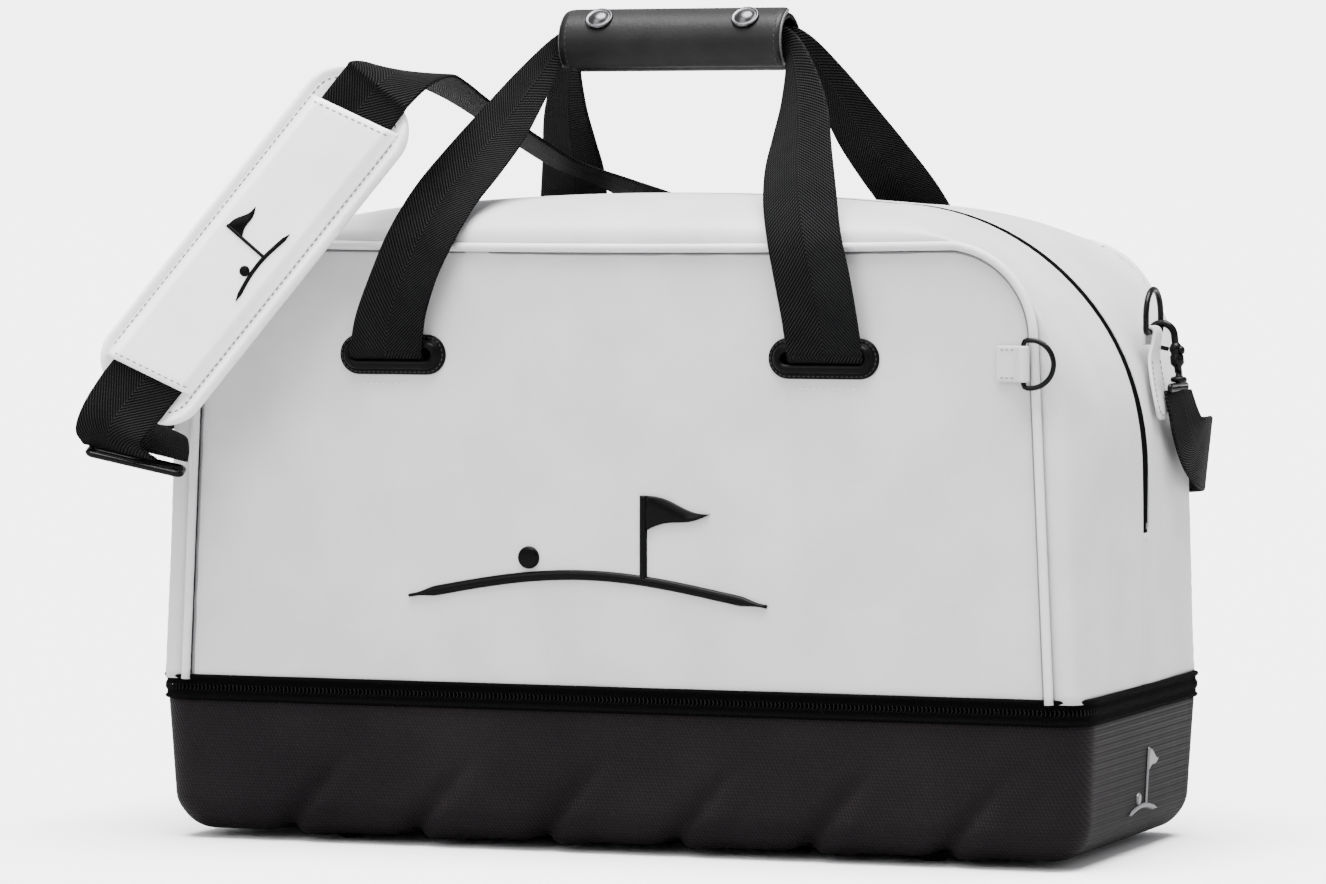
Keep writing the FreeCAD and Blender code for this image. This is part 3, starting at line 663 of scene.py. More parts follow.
def outline(depth, inset=0.0):
    """The U outline at one depth as (x, z), from the right foot over the top to the left foot."""
    low = crowned(depth, 7)
    middle = crowned(depth, 3.6)
    high = crowned(depth, 2.6)

    def mix(key, share, axis=None):
        a = SEAM[key] if axis is None else SEAM[key][axis]
        b = CROWN[key] if axis is None else CROWN[key][axis]
        return a + (b - a) * share

    foot = np.array([mix("base", low) - inset, BELT_TOP - 0.002])
    side = np.array([mix("side", middle, 0) - inset, mix("side", high, 1)])
    corner = np.array([mix("corner", high, 0) - 0.72 * inset, mix("corner", high, 1) - 0.7 * inset])
    top = np.array([mix("top", high, 0), mix("top", high, 1) - inset])
    peak = np.array([0, mix("peak", high) - inset])
    flip = np.array([-1, 1])
    line = foot + (side - foot) * np.linspace(0, 1, 37)[:, None]
    shoulder = arc_through(side, corner, top, 29)
    crown = arc_through(top, peak, top * flip, 61)
    right = np.vstack([line[:-1], shoulder[:-1]])
    return np.vstack([right, crown, (right * flip)[::-1]])


def ripple(x, z):
    """A slow unevenness of soft material, about -1 to 1."""
    return (np.sin(19 * x + 7 * z + 1.1) * np.sin(23 * z - 9 * x + 0.4)
            + 0.5 * np.sin(47 * x - 31 * z + 2.0)) / 1.5


def panel_bulge(x, z):
    """How far the front or back panel stands out from its flat plane."""
    t = np.clip((z - BELT_TOP) / 0.214, 0, 1)
    wide = np.clip(1 - np.abs(x / 0.222) ** 3.2, 0, 1)
    return 0.0032 * wide * 6.75 * t * (1 - t) ** 2 + 0.0004 * wide * ripple(x, z)


def rounded_rectangle(half_x, half_y, radius, along_x=40, along_y=20, corner=10):
    """A closed outline with its outward directions, from the front right corner's start, turning left."""
    points, normals = [], []
    counts = {0: along_y, 1: along_x, 2: along_y, 3: along_x}
    corners = [(1, -1, -90), (1, 1, 0), (-1, 1, 90), (-1, -1, 180)]
    for index, (sx, sy, start) in enumerate(corners):
        centre = np.array([sx * (half_x - radius), sy * (half_y - radius)])
        for turn in np.linspace(0, 90, corner + 1):
            angle = math.radians(start + turn)
            direction = np.array([math.cos(angle), math.sin(angle)])
            points.append(centre + radius * direction)
            normals.append(direction)
        following = corners[(index + 1) % 4]
        end = following[:2] * (np.array([half_x, half_y]) - radius) + radius * direction
        last = points[-1]
        for share in np.linspace(0, 1, counts[index] + 2)[1:-1]:
            points.append(last + (end - last) * share)
            normals.append(direction)
    return np.array(points), np.array(normals)


# ---------------------------------------------------------------- tray

def groove_relief(x, z):
    """The slanted flutes of the tray's front: a sharp crease with a swelling on its right."""
    relief = np.zeros_like(x)
    t = (z - 0.007) / 0.041
    fade = np.clip(1.12 - t, 0, 1)
    fade = fade * fade * (3 - 2 * fade)
    for start in GROOVE_LOW:
        distance = (x - (start + GROOVE_LEAN * t)) * 0.76
        left = np.exp(-(np.minimum(distance, 0) / 0.0062) ** 2)
        right = np.exp(-(np.maximum(distance, 0) / 0.0022) ** 2)
        crease = np.where(distance < 0, left, right)
        swell = np.exp(-((distance - 0.0085) / 0.0062) ** 2)
        relief += fade * (-0.0042 * crease + 0.0012 * swell)
    return relief


def tray_rows():
    """(step in, height, outward share, upward share) from the middle of the floor up the outside."""
    rows = [(share, SHELL_LOW, 0.0, -1.0) for share in (0.098, 0.085, 0.065, 0.045, 0.033)]
    for turn in np.linspace(8, 90, 13):
        angle = math.radians(turn)
        side = SHELL_ROUND * (1 - math.sin(angle))
        height = SHELL_ROUND * (1 - math.cos(angle))
        draft = SHELL_DRAFT * (1 - height / (BELT_LOW - SHELL_LOW))
        rows.append((draft + side, SHELL_LOW + height, math.sin(angle), -math.cos(angle)))
    for height in np.linspace(0.0275, BELT_LOW - 0.0005, 26):
        draft = SHELL_DRAFT * (1 - (height - SHELL_LOW) / (BELT_LOW - SHELL_LOW))
        rows.append((draft, height, 1.0, 0.0))
    return rows


def build_tray(m):
    rings = []
    for step_in, height, outward, upward in tray_rows():
        radius = float(np.clip(SHELL_ROUND + 0.002 - max(step_in - SHELL_DRAFT, 0), 0.003, SHELL_ROUND))
        ring, normals = rounded_rectangle(SHELL_X - step_in, SHELL_Y - step_in, radius, 230, 40, 14)
        facing = np.clip(-normals[:, 1] * 1.5 - 0.5, 0, 1)
        relief = groove_relief(ring[:, 0], np.full(len(ring), height)) * facing
        relief = relief * (0.25 if step_in > 0.03 else 1.0)
        flat = ring + normals * (relief * outward)[:, None]
        rings.append(at_height(flat, height + upward * relief))
    for step_in, height in ((0.0012, BELT_LOW), (0.004, BELT_LOW), (0.0042, 0.060), (0.0046, 0.030),
                            (0.008, 0.017), (0.018, 0.0095), (0.030, SHELL_LOW + 0.004)):
        radius = float(np.clip(SHELL_ROUND - step_in, 0.003, SHELL_ROUND))
        ring, normals = rounded_rectangle(SHELL_X - step_in, SHELL_Y - step_in, radius, 230, 40, 14)
        rings.append(at_height(ring, height))
    piece("tray", ringed(rings), m["shell"], "base", ["shell"], "moulded_eva")


def swept_belt(profile):
    """A band round the belt line from a profile of (outward, height), which is closed here."""
    ring, normals = rounded_rectangle(BELT_X, BELT_Y, BELT_CORNER, 60, 26, 12)
    rings = [at_height(ring + normals * out, height) for out, height in profile]
    return ringed(rings + rings[:1], False, False)


def coil_teeth(height, lift):
    """The moulded coil of one half of the shoe zip, round the front and both ends."""
    ring = rounded_rectangle(BELT_X + 0.0001, BELT_Y + 0.0001, BELT_CORNER, 60, 26, 12)[0]
    path = at_height(ring, height)
    points, along = spaced(np.vstack([path, path[:1]]), 0.0021)
    keep = ~((points[:, 1] > 0.1035) & (np.abs(points[:, 0]) < 0.192))
    forms = []
    for place, forward in zip(points[keep], along[keep]):
        out = np.cross(forward, UP)
        slope = unit(forward * 0.35 + UP * lift)
        start = place - slope * 0.0008 - out * 0.0006
        arch = mm((0, 0), (1.1, 0.2), (1.1, 1.3), (0, 1.6))
        forms.append(tube([start + out * forth + slope * up for forth, up in arch], 0.00042, sides=5))
    return merged(forms)


def build_belt(m):
    lower = mm(
        (-4, 69.8), (-0.6, 69.6), (0.6, 69.9), (1.1, 70.6), (0.9, 71.3), (0.2, 71.7), (0.1, 73.5),
        (0.5, 73.9), (0.5, 74.5), (-0.2, 74.9), (-4, 74.9))
    upper = mm(
        (-4, 76.9), (-0.2, 76.9), (0.5, 77.3), (0.5, 77.9), (0.1, 78.3), (0.2, 79.8), (1, 80.2),
        (1.5, 81), (1.2, 81.8), (0.2, 82.3), (-2, 82.2), (-4, 81.5))
    piece("lower_tape", swept_belt(lower), m["tape"], "base", ["lower_zip_tape"], "zip_tape")
    piece("upper_tape", swept_belt(upper), m["tape"], "upper_bag", ["upper_zip_tape"], "zip_tape")
    piece("lower_coil", coil_teeth(0.0754, 1), m["coil"], "base", ["lower_zip_coil"], "zip_coil")
    piece("upper_coil", coil_teeth(0.0764, -1), m["coil"], "upper_bag", ["upper_zip_coil"], "zip_coil")
    levels = np.linspace(HINGE_LOW, HINGE_HIGH, 21)
    across = np.linspace(-HINGE_HALF, HINGE_HALF, 60)
    rows = []
    for level in levels:
        rim = 0.0003 * math.sin((level - HINGE_LOW) / (HINGE_HIGH - HINGE_LOW) * TURN * 3)
        rows.append(np.column_stack([across, np.full(60, HINGE_Y + rim), np.full(60, level)]))
    cloth = thickened(sheet(rows), 0.0008, (0, 0, 0.075))
    hinge = piece("hinge_cloth", cloth, m["tape"], None, ["lower_hinge_tape", "upper_hinge_tape"], "zip_tape")
    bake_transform(hinge)


# ---------------------------------------------------------------- soft upper

def seam_path(inset, depth, side):
    """The U seam line as 3-D points at one inset, on the front (-1) or back (1)."""
    return at_depth(outline(BELT_Y, inset), side * depth)


def top_zip_form():
    """The closed zip in the gusset's slit: two tapes and the raised coil between them."""
    half = [(-8.5, 3.2), (-6.2, 1.6), (-4.8, 1), (-2.4, 0.8), (-1.3, 0.2)]
    profile = mm(*half, (0, 0.8), *[(-depth, inset) for depth, inset in reversed(half)])
    rows = [at_depth(outline(0, inset)[24:-24], depth) for depth, inset in profile]
    return thickened(sheet(rows), 0.0006)


def build_gusset(m):
    half = mm(104, 103.97, 103.85, 103.6, 103.2, 102.6, 101.8, 100.6, 99, 96.5, 93, 88, 82, 75, 67, 58,
              49, 40, 31, 23, 16, 11.5, 8.8, 7.1, 6.1, 5.5, 5.1)
    rows = []
    for depth in np.concatenate([-half, half[::-1]]):
        lip = 0.0006 * math.exp(-(abs(depth) - SLIT_HALF) / 0.0014)
        flat = outline(depth, lip)
        near = math.exp(-(BELT_Y - abs(depth)) / 0.012)
        share = np.arange(len(flat)) / len(flat)
        pucker = 0.00035 * near * np.sin(share * 520) * np.sin(share * 61 + 1)
        sag = 0.0011 * ripple(flat[:, 1] * 1.6, np.full(len(flat), depth * 1.5)) * (1 - near)
        flat = flat + unit(flat - np.array([0, 0.18])) * (pucker + sag * 0.6)[:, None]
        rows.append(at_depth(flat, depth))
    columns = len(rows[0])
    faces = np.array(grid_faces(len(rows), columns))
    middle = len(half) - 1
    row_of = faces[:, 0] // columns
    column_of = faces[:, 0] % columns
    in_slit = (row_of == middle) & (column_of >= 26) & (column_of < columns - 27)
    form = thickened((np.vstack(rows), faces[~in_slit].tolist(), None), 0.0022)
    piece("gusset_leather", form, m["white"], "upper_bag", ["gusset"], "white_leather")
    piece("top_zip", top_zip_form(), m["tape"], "upper_bag", slot="zip_tape")


def panel_form(side):
    """The front or back panel: rings that shrink to its middle, puffed out and turned in at its edge."""
    flat = outline(BELT_Y, 0.0026)
    base = np.linspace(flat[-1], flat[0], 50)[1:-1]
    flat = np.vstack([flat, base])
    centre = np.array([0, 0.19])
    scales = np.concatenate([[1, 0.9965, 0.992, 0.986, 0.978, 0.966], np.linspace(0.95, 0.03, 44)])
    rows = []
    for scale in scales:
        ring = centre + (flat - centre) * scale
        edge = 0.0017 * math.exp(-(1 - scale) / 0.010)
        y = BELT_Y + panel_bulge(ring[:, 0], ring[:, 1]) - edge
        share = np.arange(len(ring)) / len(ring)
        y = y + 0.0003 * math.exp(-(1 - scale) / 0.03) * np.sin(share * 300) * np.sin(share * 41 + 2)
        rows.append(at_depth(ring, side * y))
    return thickened(ringed(rows, first=False), 0.0022)


def build_panels(m):
    for name, side in (("front", -1), ("back", 1)):
        piece(name + "_leather", panel_form(side), m["white"], "upper_bag", [name + "_panel"],
              "white_leather")
        welt = tube(seam_path(0.0012, 0.1055, side), 0.0022, sides=14)
        piece(name + "_welt", welt, m["piping"], "upper_bag", [name + "_piping"], "white_leather")
        # A thin grey tube laid along the seam beside the welt: painted shade that stands in for the dark
        # groove there.
        painted_seam_shade = tube(seam_path(0.0042, 0.1032, side), 0.0008, sides=8)
        piece(name + "_seam_shadow", painted_seam_shade, m["grey_thread_and_seam_shade"], "upper_bag", slot="white_leather")


# ---------------------------------------------------------------- eyelets and webbing

def stadium(length, height):
    """A closed oval outline with outward directions in the XZ plane, about its own middle."""
    radius = height / 2
    half = length / 2 - radius
    points, normals = [], []
    for sign, start in ((1, -90), (-1, 90)):
        for turn in np.linspace(0, 180, 17):
            angle = math.radians(start + turn)
            direction = np.array([math.cos(angle), math.sin(angle)])
            points.append(np.array([sign * half, 0]) + radius * direction)
            normals.append(direction)
        for share in np.linspace(0, 1, 16)[1:-1]:
            points.append(np.array([sign * half * (1 - 2 * share), sign * radius]))
            normals.append(np.array([0.0, float(sign)]))
    return np.array(points), np.array(normals)


def round_eyelet(x, flat, rise):
    """Points about an eyelet's middle, moved to the front panel at this height above its leather."""
    surface = BELT_Y + float(panel_bulge(np.array(x), np.array(GROMMET_Z)))
    return at_depth(flat + (x, GROMMET_Z), -surface - rise)


def eyelet_form(x):
    ring, normals = stadium(SLOT_LENGTH, SLOT_HEIGHT)
    profile = mm((-0.1, 0.6), (0, 3), (0.5, 4), (1.5, 4.7), (2.6, 4.8), (3.7, 4.2), (4.5, 3), (4.8, 1.8),
                 (5.2, 1.6), (6.6, 1.5), (7.1, 1.2), (7.3, 0.4), (7.3, -1))
    return ringed([round_eyelet(x, ring + normals * out, rise) for out, rise in profile], last=False)


def eyelet_thread(x):
    ring, normals = stadium(SLOT_LENGTH, SLOT_HEIGHT)
    flat = ring + normals * 0.0060
    path = round_eyelet(x, np.vstack([flat, flat[:1]]), 0.00155)
    return stitches(path, np.array([0, -1, 0]), 0.0024, 0.0018, 0.0003)


def tack_thread(x):
    line = np.linspace(x - 0.0165, x + 0.0165, 30)
    z = np.full(30, TACK_Z)
    y = -(BELT_Y + panel_bulge(line, z)) - 0.0001
    path = np.column_stack([line, y, z])
    return stitches(path, np.array([0, -1, 0]), 0.0033, 0.0024, 0.00038)


LEG_TOP = stations(
    (61, -11, 391.5, 2.4, 0, 6.6), (50, -8, 395, 0.5, 0, 8.2), (25, -8, 395, 0, 0, 8.2))
WIDE_LEG = stations(
    (113, -110.2, 242.5, 19, 0, 0), (111.5, -113.5, 260, 19, 0, 0), (108, -114.5, 280, 19, 0, 1),
    (103, -111.5, 299, 18.5, 0, 2), (96.5, -99, 318, 18.5, 0, 3), (88.5, -78, 336, 17, 0, 5),
    (81, -54, 354, 14, 0, 7.5), (72, -31, 373, 8.5, 0, 8.5)) + LEG_TOP
DRAWN_LEG = stations(
    (113, -110.2, 242.5, 19, 0, 0), (109, -113.5, 260, 18.5, 0, 0), (101.5, -114.5, 280, 17.5, 0, 1),
    (93.5, -111.5, 299, 17, 0, 3), (86.5, -99, 318, 15.5, 0, 5), (79.5, -78, 336, 13.5, 0, 7),
    (73.5, -54, 354, 10.5, 0, 8.5), (68, -31, 373, 6.5, 0, 8.5)) + LEG_TOP


def handle_form(right, left):
    """A handle from its right leg and its left leg, which is given as if it stood on the right."""
    far = [(centre * (-1, 1, 1), across * (-1, 1, 1)) for centre, across in reversed(left)]
    return ribbon(right + stations((0, -8, 395, 0, 0, 8.2)) + far, 9)


def tail_form(x):
    """The webbing's end, from its fold line over the eyelet's lower lip and in through the slot."""
    fold = ((-110.3, 244), (-110.1, 242.1), (-108.8, 240.5), (-106, 240), (-103.5, 240.5), (-100.8, 239),
            (-100.2, 230), (-100.2, 206))
    return ribbon(stations(*[(0, y, z, 19, 0, 0) for y, z in fold], origin=(x, 0, 0)), 5)


def build_webbing(m):
    for name, place in (("front", lambda form: form), ("back", behind)):
        legs = (WIDE_LEG, DRAWN_LEG) if name == "front" else (DRAWN_LEG, WIDE_LEG)
        handle = piece(name + "_handle", place(handle_form(*legs)), m["webbing"], None,
                       [name + "_handle_webbing"], "webbing")
        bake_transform(handle)
        tails = merged([place(tail_form(x)) for x in (-0.113, 0.113)])
        piece(name + "_tails", tails, m["webbing"], "upper_bag", [name + "_webbing_tails"], "webbing")
        rims = merged([place(eyelet_form(x)) for x in (-GROMMET_X, GROMMET_X)])
        piece(name + "_eyelets", rims, m["eyelet"], "upper_bag", [name + "_grommets"], "eyelet")
        thread = merged([place(eyelet_thread(x)) for x in (-GROMMET_X, GROMMET_X)])
        piece(name + "_eyelet_thread", thread, m["dark_thread"], "upper_bag", slot="webbing")
        tacks = merged([place(tack_thread(x)) for x in (-GROMMET_X, GROMMET_X)])
        piece(name + "_tack_thread", tacks, m["white_thread"], "upper_bag", slot="white_leather")


# ---------------------------------------------------------------- grip

def grip_point(angle, x, swell=0.0):
    """A point on the roll: angle 0 faces the front, 90 degrees faces up."""
    y = -(GRIP_DEPTH + swell) * np.cos(angle)
    z = GRIP_Z + (GRIP_RISE + swell) * np.sin(angle)
    return np.stack(np.broadcast_arrays(x, y, z), -1)


def roll_form():
    """The front half of the padded roll, drawn in at its ends."""
    angles = np.radians(np.linspace(-89, 89, 37))
    xs = np.concatenate([[-1, -0.995, -0.985, -0.965], np.linspace(-0.93, 0.93, 25),
                         [0.965, 0.985, 0.995, 1]])
    pinch = np.array([-0.0030, -0.0016, -0.0007, -0.0002])
    swell = np.concatenate([pinch, np.zeros(25), pinch[::-1]])
    rows = [grip_point(angle, xs * GRIP_HALF, swell) for angle in angles]
    return thickened(sheet(rows), 0.0024, (0, 0, GRIP_Z))


def flap_half_length(share):
    """Half the flap's length at a share of its height, 0 at the fold and 1 at the free edge."""
    corner = 0.17
    past = max(share - (1 - corner), 0) / corner
    return 0.0580 - 0.0075 * (1 - math.sqrt(max(1 - past * past, 0)))


def flap_form():
    rows = []
    for share in np.concatenate([np.linspace(0, 0.8, 26), np.linspace(0.82, 1, 16)]):
        angle = FLAP_START + (FLAP_END - FLAP_START) * share
        half = flap_half_length(share)
        rows.append(grip_point(angle, np.linspace(-half, half, 41), FLAP_SWELL))
    return thickened(sheet(rows), 0.0017, (0, 0, GRIP_Z))


def flap_border(inset):
    """The line along the flap's two ends and its free edge, drawn in by the inset."""
    shares = np.concatenate([np.linspace(0.02, 0.8, 20), np.linspace(0.82, 1, 16)])
    top = 1 - inset / 0.042
    right = []
    for share in shares:
        half = flap_half_length(share) - inset
        angle = FLAP_START + (FLAP_END - FLAP_START) * min(share, 1) * top
        right.append(grip_point(angle, half, FLAP_SWELL))
    right = np.array(right)
    left = (right * (-1, 1, 1))[::-1]
    middle = np.linspace(right[-1], left[0], 20)[1:-1]
    return np.vstack([right, middle, left])


def border_outs(path):
    return unit(np.column_stack([np.zeros(len(path)), path[:, 1] / GRIP_DEPTH ** 2,
                                 (path[:, 2] - GRIP_Z) / GRIP_RISE ** 2]))


def snap_form(x):
    turn = math.radians(42)
    centre = np.array([x, -GRIP_DEPTH * math.cos(turn), GRIP_Z + GRIP_RISE * math.sin(turn)])
    facing = unit([0, -math.cos(turn) / GRIP_DEPTH, math.sin(turn) / GRIP_RISE])
    profile = mm((7, 1.8), (7.1, 2.8), (6.7, 3.4), (6.1, 3.3), (5.6, 2.9), (5.1, 3.1), (4.4, 3.9), (3.2, 4.6),
                 (1.6, 5), (0.2, 5.1))
    return lathe(profile, centre, facing)


def build_grip(m):
    piece("front_roll", roll_form(), m["roll"], "front_handle", ["grip_front"], "grip_leather")
    piece("back_roll", behind(roll_form()), m["roll"], "back_handle", ["grip_back"], "grip_leather")
    piece("flap", flap_form(), m["grip"], "flap", ["grip_flap"], "grip_leather")
    edge = flap_border(0.0)
    outs = border_outs(edge)
    piece("flap_edge", tube(edge - outs * 0.0009, 0.0008, sides=8), m["edge"], "flap", slot="grip_leather")
    seam = flap_border(0.0030)
    thread = stitches(seam, border_outs(seam), 0.0030, 0.0021, 0.0003)
    piece("flap_thread", thread, m["dark_thread"], "flap", slot="grip_leather")
    caps = merged([snap_form(x) for x in (-SNAP_X, SNAP_X)])
    piece("snaps", caps, m["snap"], "flap", ["snap_caps"], "snap_metal")


# ---------------------------------------------------------------- rings, tabs and hooks

def ring_path(radius, legs):
    """A D ring's line in the XZ plane: its bar through the origin along X, its round side up."""
    turns = np.linspace(0, math.pi, 25)
    bow = np.column_stack([radius * np.cos(turns), np.zeros(25), legs + radius * np.sin(turns)])
    soft = 0.0018
    bar = [[-radius, 0, soft], [-radius + soft * 0.3, 0, soft * 0.3], [-radius + soft, 0, 0]]
    bar += [[x, 0, 0] for x in np.linspace(-radius + 2 * soft, radius - 2 * soft, 9)]
    bar += [[radius - soft, 0, 0], [radius - soft * 0.3, 0, soft * 0.3], [radius, 0, soft]]
    return np.vstack([bow, bar])


def front_ring_form():
    path = ring_path(0.0112, 0.0035)
    turned = np.column_stack([path[:, 2], np.zeros(len(path)), -path[:, 0]])
    return tube(turned + FRONT_BAR, 0.00125, closed=True, sides=14)


def side_ring_form():
    path = ring_path(0.013, 0.008)
    turned = np.column_stack([np.zeros(len(path)), path[:, 0], path[:, 2]])
    return tube(turned + RING_BAR, 0.0015, closed=True, sides=14)


def front_tab_form():
    """The leather tab on the front panel, folded round the ring's bar."""
    line = ((-14.5, 4.5), (-10.5, 3.9), (-5.5, 3), (-1.7, -1.3), (0.2, -2.4), (2.2, -0.4), (1.2, 2),
            (-3.5, 3.5), (-10.5, 5.5))
    return ribbon(stations(*[(x, y, 0, 0, 0, 8.5) for x, y in line], origin=FRONT_BAR), 6, 0.0012)


def side_tab_form():
    """The leather tab on the right side: folded over the ring's bar, then sewn down to a rounded end."""
    line = stations(
        (-2.6, -2, -6, 0, 6, 0), (-2.2, -2, 0.8, 0, 6, 0), (0, -2, 2.6, 0, 6, 0), (2.6, -2, 0.6, 0, 6, 0),
        (2.2, -3, -6, 0, 6.8, 0), (1.6, -4, -13, 0, 9, 0), (4.6, -8, -26, 0, 9.8, 0),
        (7.2, -10.5, -36, 0, 9.3, 0), (7.6, -11.2, -40, 0, 7.2, 0), (7.6, -11.5, -42, 0, 3.5, 0),
        origin=RING_BAR)
    return ribbon(line, 7, 0.0016)


def side_tab_thread():
    """The stitches round the edge of the tab's sewn part."""
    x, y, z = RING_BAR
    edge = []
    for sign in (-1, 1):
        run = [(x + 0.0026, y - 0.004 + sign * 0.0070, z - 0.013),
               (x + 0.0056, y - 0.008 + sign * 0.0078, z - 0.026),
               (x + 0.0082, y - 0.0105 + sign * 0.0074, z - 0.036)]
        edge += run if sign < 0 else run[::-1]
    edge.insert(3, (x + 0.0087, y - 0.0113, z - 0.0402))
    return stitches(smooth(edge, 8), np.array([1.0, 0, 0.12]), 0.0028, 0.0020, 0.00032)


def hook_form():
    """A snap hook: an open bow, a turned barrel with a thumb knob, and a round foot."""
    turns = np.radians(np.linspace(195, 0, 26))
    bow = np.column_stack([HOOK_BOW[0] + 0.0065 * np.cos(turns), np.full(26, HOOK_BOW[1]),
                           HOOK_BOW[2] + 0.0065 * np.sin(turns)])
    shank_top = HOOK_BOW + np.array([0.0065, 0, 0])
    axis = HOOK_FOOT - shank_top
    length = np.linalg.norm(axis)
    path = np.vstack([bow, shank_top + axis * 0.25])
    widths = np.concatenate([np.linspace(0.0013, 0.0018, 10), np.full(17, 0.0018)])
    barrel = [*mm((1.6, 0), (2.4, 1), (3.1, 2.2), (3.3, 4), (2.8, 4.8), (2.8, 6), (3.4, 6.6), (3.4, 10.5),
                  (2.6, 11.4), (1.9, 12.2)), (0.0018, length - 0.004)]
    knob = lathe(mm((0.8, 0), (1, 2.5), (1.9, 2.9), (2.1, 3.8), (1.2, 4.6), (0.2, 4.8)),
                 shank_top + axis * 0.38, (1, -0.4, 0.2), 20)
    return merged([tube(path, widths, sides=14), lathe(barrel, shank_top + axis * 0.15, axis, 28), knob])


def gate_form():
    pivot = HOOK_BOW + np.array([0.0052, 0, -0.0066])
    tip = HOOK_BOW + np.array([-0.0060, 0, -0.0042])
    start = pivot + np.array([-0.0016, 0, 0.0004])
    along = unit(tip - pivot)
    length = np.linalg.norm(tip - pivot) - 0.0024
    profile = [(0.0006, 0), (0.0011, 0.0004), (0.0011, length - 0.0012), (0.0013, length - 0.0008),
               (0.0009, length)]
    return lathe(profile, start, along, 16)


def swivel_form():
    """The swivel's turned cup and the flat loop for the webbing."""
    profile = mm((3, -3.6), (4, -3.2), (4.1, -1.8), (3.6, -1), (2.2, -0.8), (1.6, -0.2), (1.5, 3), (1, 3.4))
    cup = lathe(profile, HOOK_FOOT, UP, 28)
    half = 0.0150
    turns = np.linspace(0, math.pi, 12)
    soft = 0.0025
    line = [[0, y, -0.0048] for y in np.linspace(-half + soft, half - soft, 10)]
    line += [[0, half - soft + soft * math.sin(t),
              -0.0048 - soft * (1 - math.cos(t)) * 0.5] for t in turns[1:]]
    line += [[0, y, -0.0048 - soft] for y in np.linspace(half - soft, -half + soft, 10)[1:]]
    line += [[0, -half + soft - soft * math.sin(t),
              -0.0048 - soft + soft * (1 - math.cos(t)) * 0.5] for t in turns[1:-1]]
    loop = tube(np.array(line) + HOOK_FOOT + (0, -0.001, 0), 0.0013, closed=True, sides=10,
                start=np.array([1.0, 0, 0]))
    return merged([cup, loop])


def build_hardware(m):
    piece("front_ring_wire", front_ring_form(), m["metal"], "front_ring", ["front_d_ring"], "black_metal")
    piece("front_tab_leather", front_tab_form(), m["white"], "upper_bag", ["front_ring_tab"], "white_leather")
    rows = []
    for level in FRONT_BAR[2] + mm(-6.6, 6.6):
        path = [(0.1985, -0.1069, level), (0.2030, -0.1078, level), (0.2062, -0.1084, level)]
        rows.append(stitches(path, np.array([0, -1, 0]), 0.0024, 0.0017, 0.0003))
    piece("front_tab_thread", merged(rows), m["grey_thread_and_seam_shade"], "upper_bag", slot="white_leather")
    parts = (("tab_leather", side_tab_form, "white", "upper_bag", "side_tab", "white_leather"),
             ("tab_thread", side_tab_thread, "grey_thread_and_seam_shade", "upper_bag", None, "white_leather"),
             ("ring_wire", side_ring_form, "metal", "upper_bag", "d_ring", "black_metal"),
             ("snap_hook", hook_form, "metal", None, "hook", "black_metal"),
             ("snap_gate", gate_form, "metal", None, "gate", "black_metal"),
             ("swivel_eye", swivel_form, "metal", "upper_bag", "swivel", "black_metal"))
    for side, place in (("right_", lambda form: form), ("left_", mirrored)):
        for name, form, material, body, cad_name, slot in parts:
            nodes = [side + cad_name] if cad_name else []
            piece(side + name, place(form()), m[material], body or side + cad_name, nodes, slot)


# ---------------------------------------------------------------- shoulder strap and pad

def pad_axes():
    """The pad's centre, and its long, cross and outward directions."""
    along = unit(PAD_HIGH_END - PAD_LOW_END)
    across = unit(np.array([along[2], 0, -along[0]]))
    outward = unit(np.cross(along, across))
    if outward[1] > 0:
        outward = -outward
    return (PAD_LOW_END + PAD_HIGH_END) / 2, along, np.cross(outward, along), outward


def on_pad(points):
    """Moves points with X along the pad, Y across it and Z outwards to the pad's place."""
    centre, along, across, outward = pad_axes()
    x, y, z = np.asarray(points).T
    return centre + np.outer(x, along) + np.outer(y, across) + np.outer(z, outward)


STRAP_LONG = stations(
    (243.5, 41, 223.6, 3, 13, 0), (246.5, 40, 214, 3, 14, 1), (248, 42.5, 206, 3, 14.5, 4),
    (248.6, 49, 199.5, 2.6, 13.5, 8.5), (248.3, 60, 195, 2, 10.5, 13.5), (247.2, 76, 192, 1, 6, 17.8),
    (241, 102, 190, 1, 3, 18.6), (227, 111.7, 189, 1, 1, 19), (203, 114.5, 189, 1, 0, 19),
    (165, 114.5, 192, 2, 0, 18.8), (120, 114.5, 199, 4, 0, 18.3), (70, 114.5, 211, 7, 0, 17.3),
    (30, 114.5, 228, 10, 0, 16.2), (0, 114.5, 252, 13, 0, 13.8), (-22, 116, 279, 15, 0, 11),
    (-39, 113, 300, 16.5, -3, 7), (-48.5, 97, 314.5, 16, -9, 3), (-61, 69, 325, 14, -12.5, 1),
    (-76, 40, 334, 12.5, -14.2, 1), (-84.5, 17, 343.5, 12.5, -14.2, 1), (-94, -10, 356, 13, -13.5, 0.5),
    (-100.5, -35, 366.5, 14.5, -11, 0), (-103.5, -62, 374, 16.5, -7, 0), (-104.5, -88, 378, 18.5, -2, -1),
    (-106, -111, 377.8, 17.6, 0, -5.5), (-110.2, -123.2, 372.8, 15.4, 0, -10.8))
STRAP_LOOP = stations(
    (-241.5, -149.5, 207.5, 15, 1, -9), (-243, -148, 199.5, 17.3, 3, -5.5),
    (-240.5, -142.5, 194, 18.2, 4, -4))
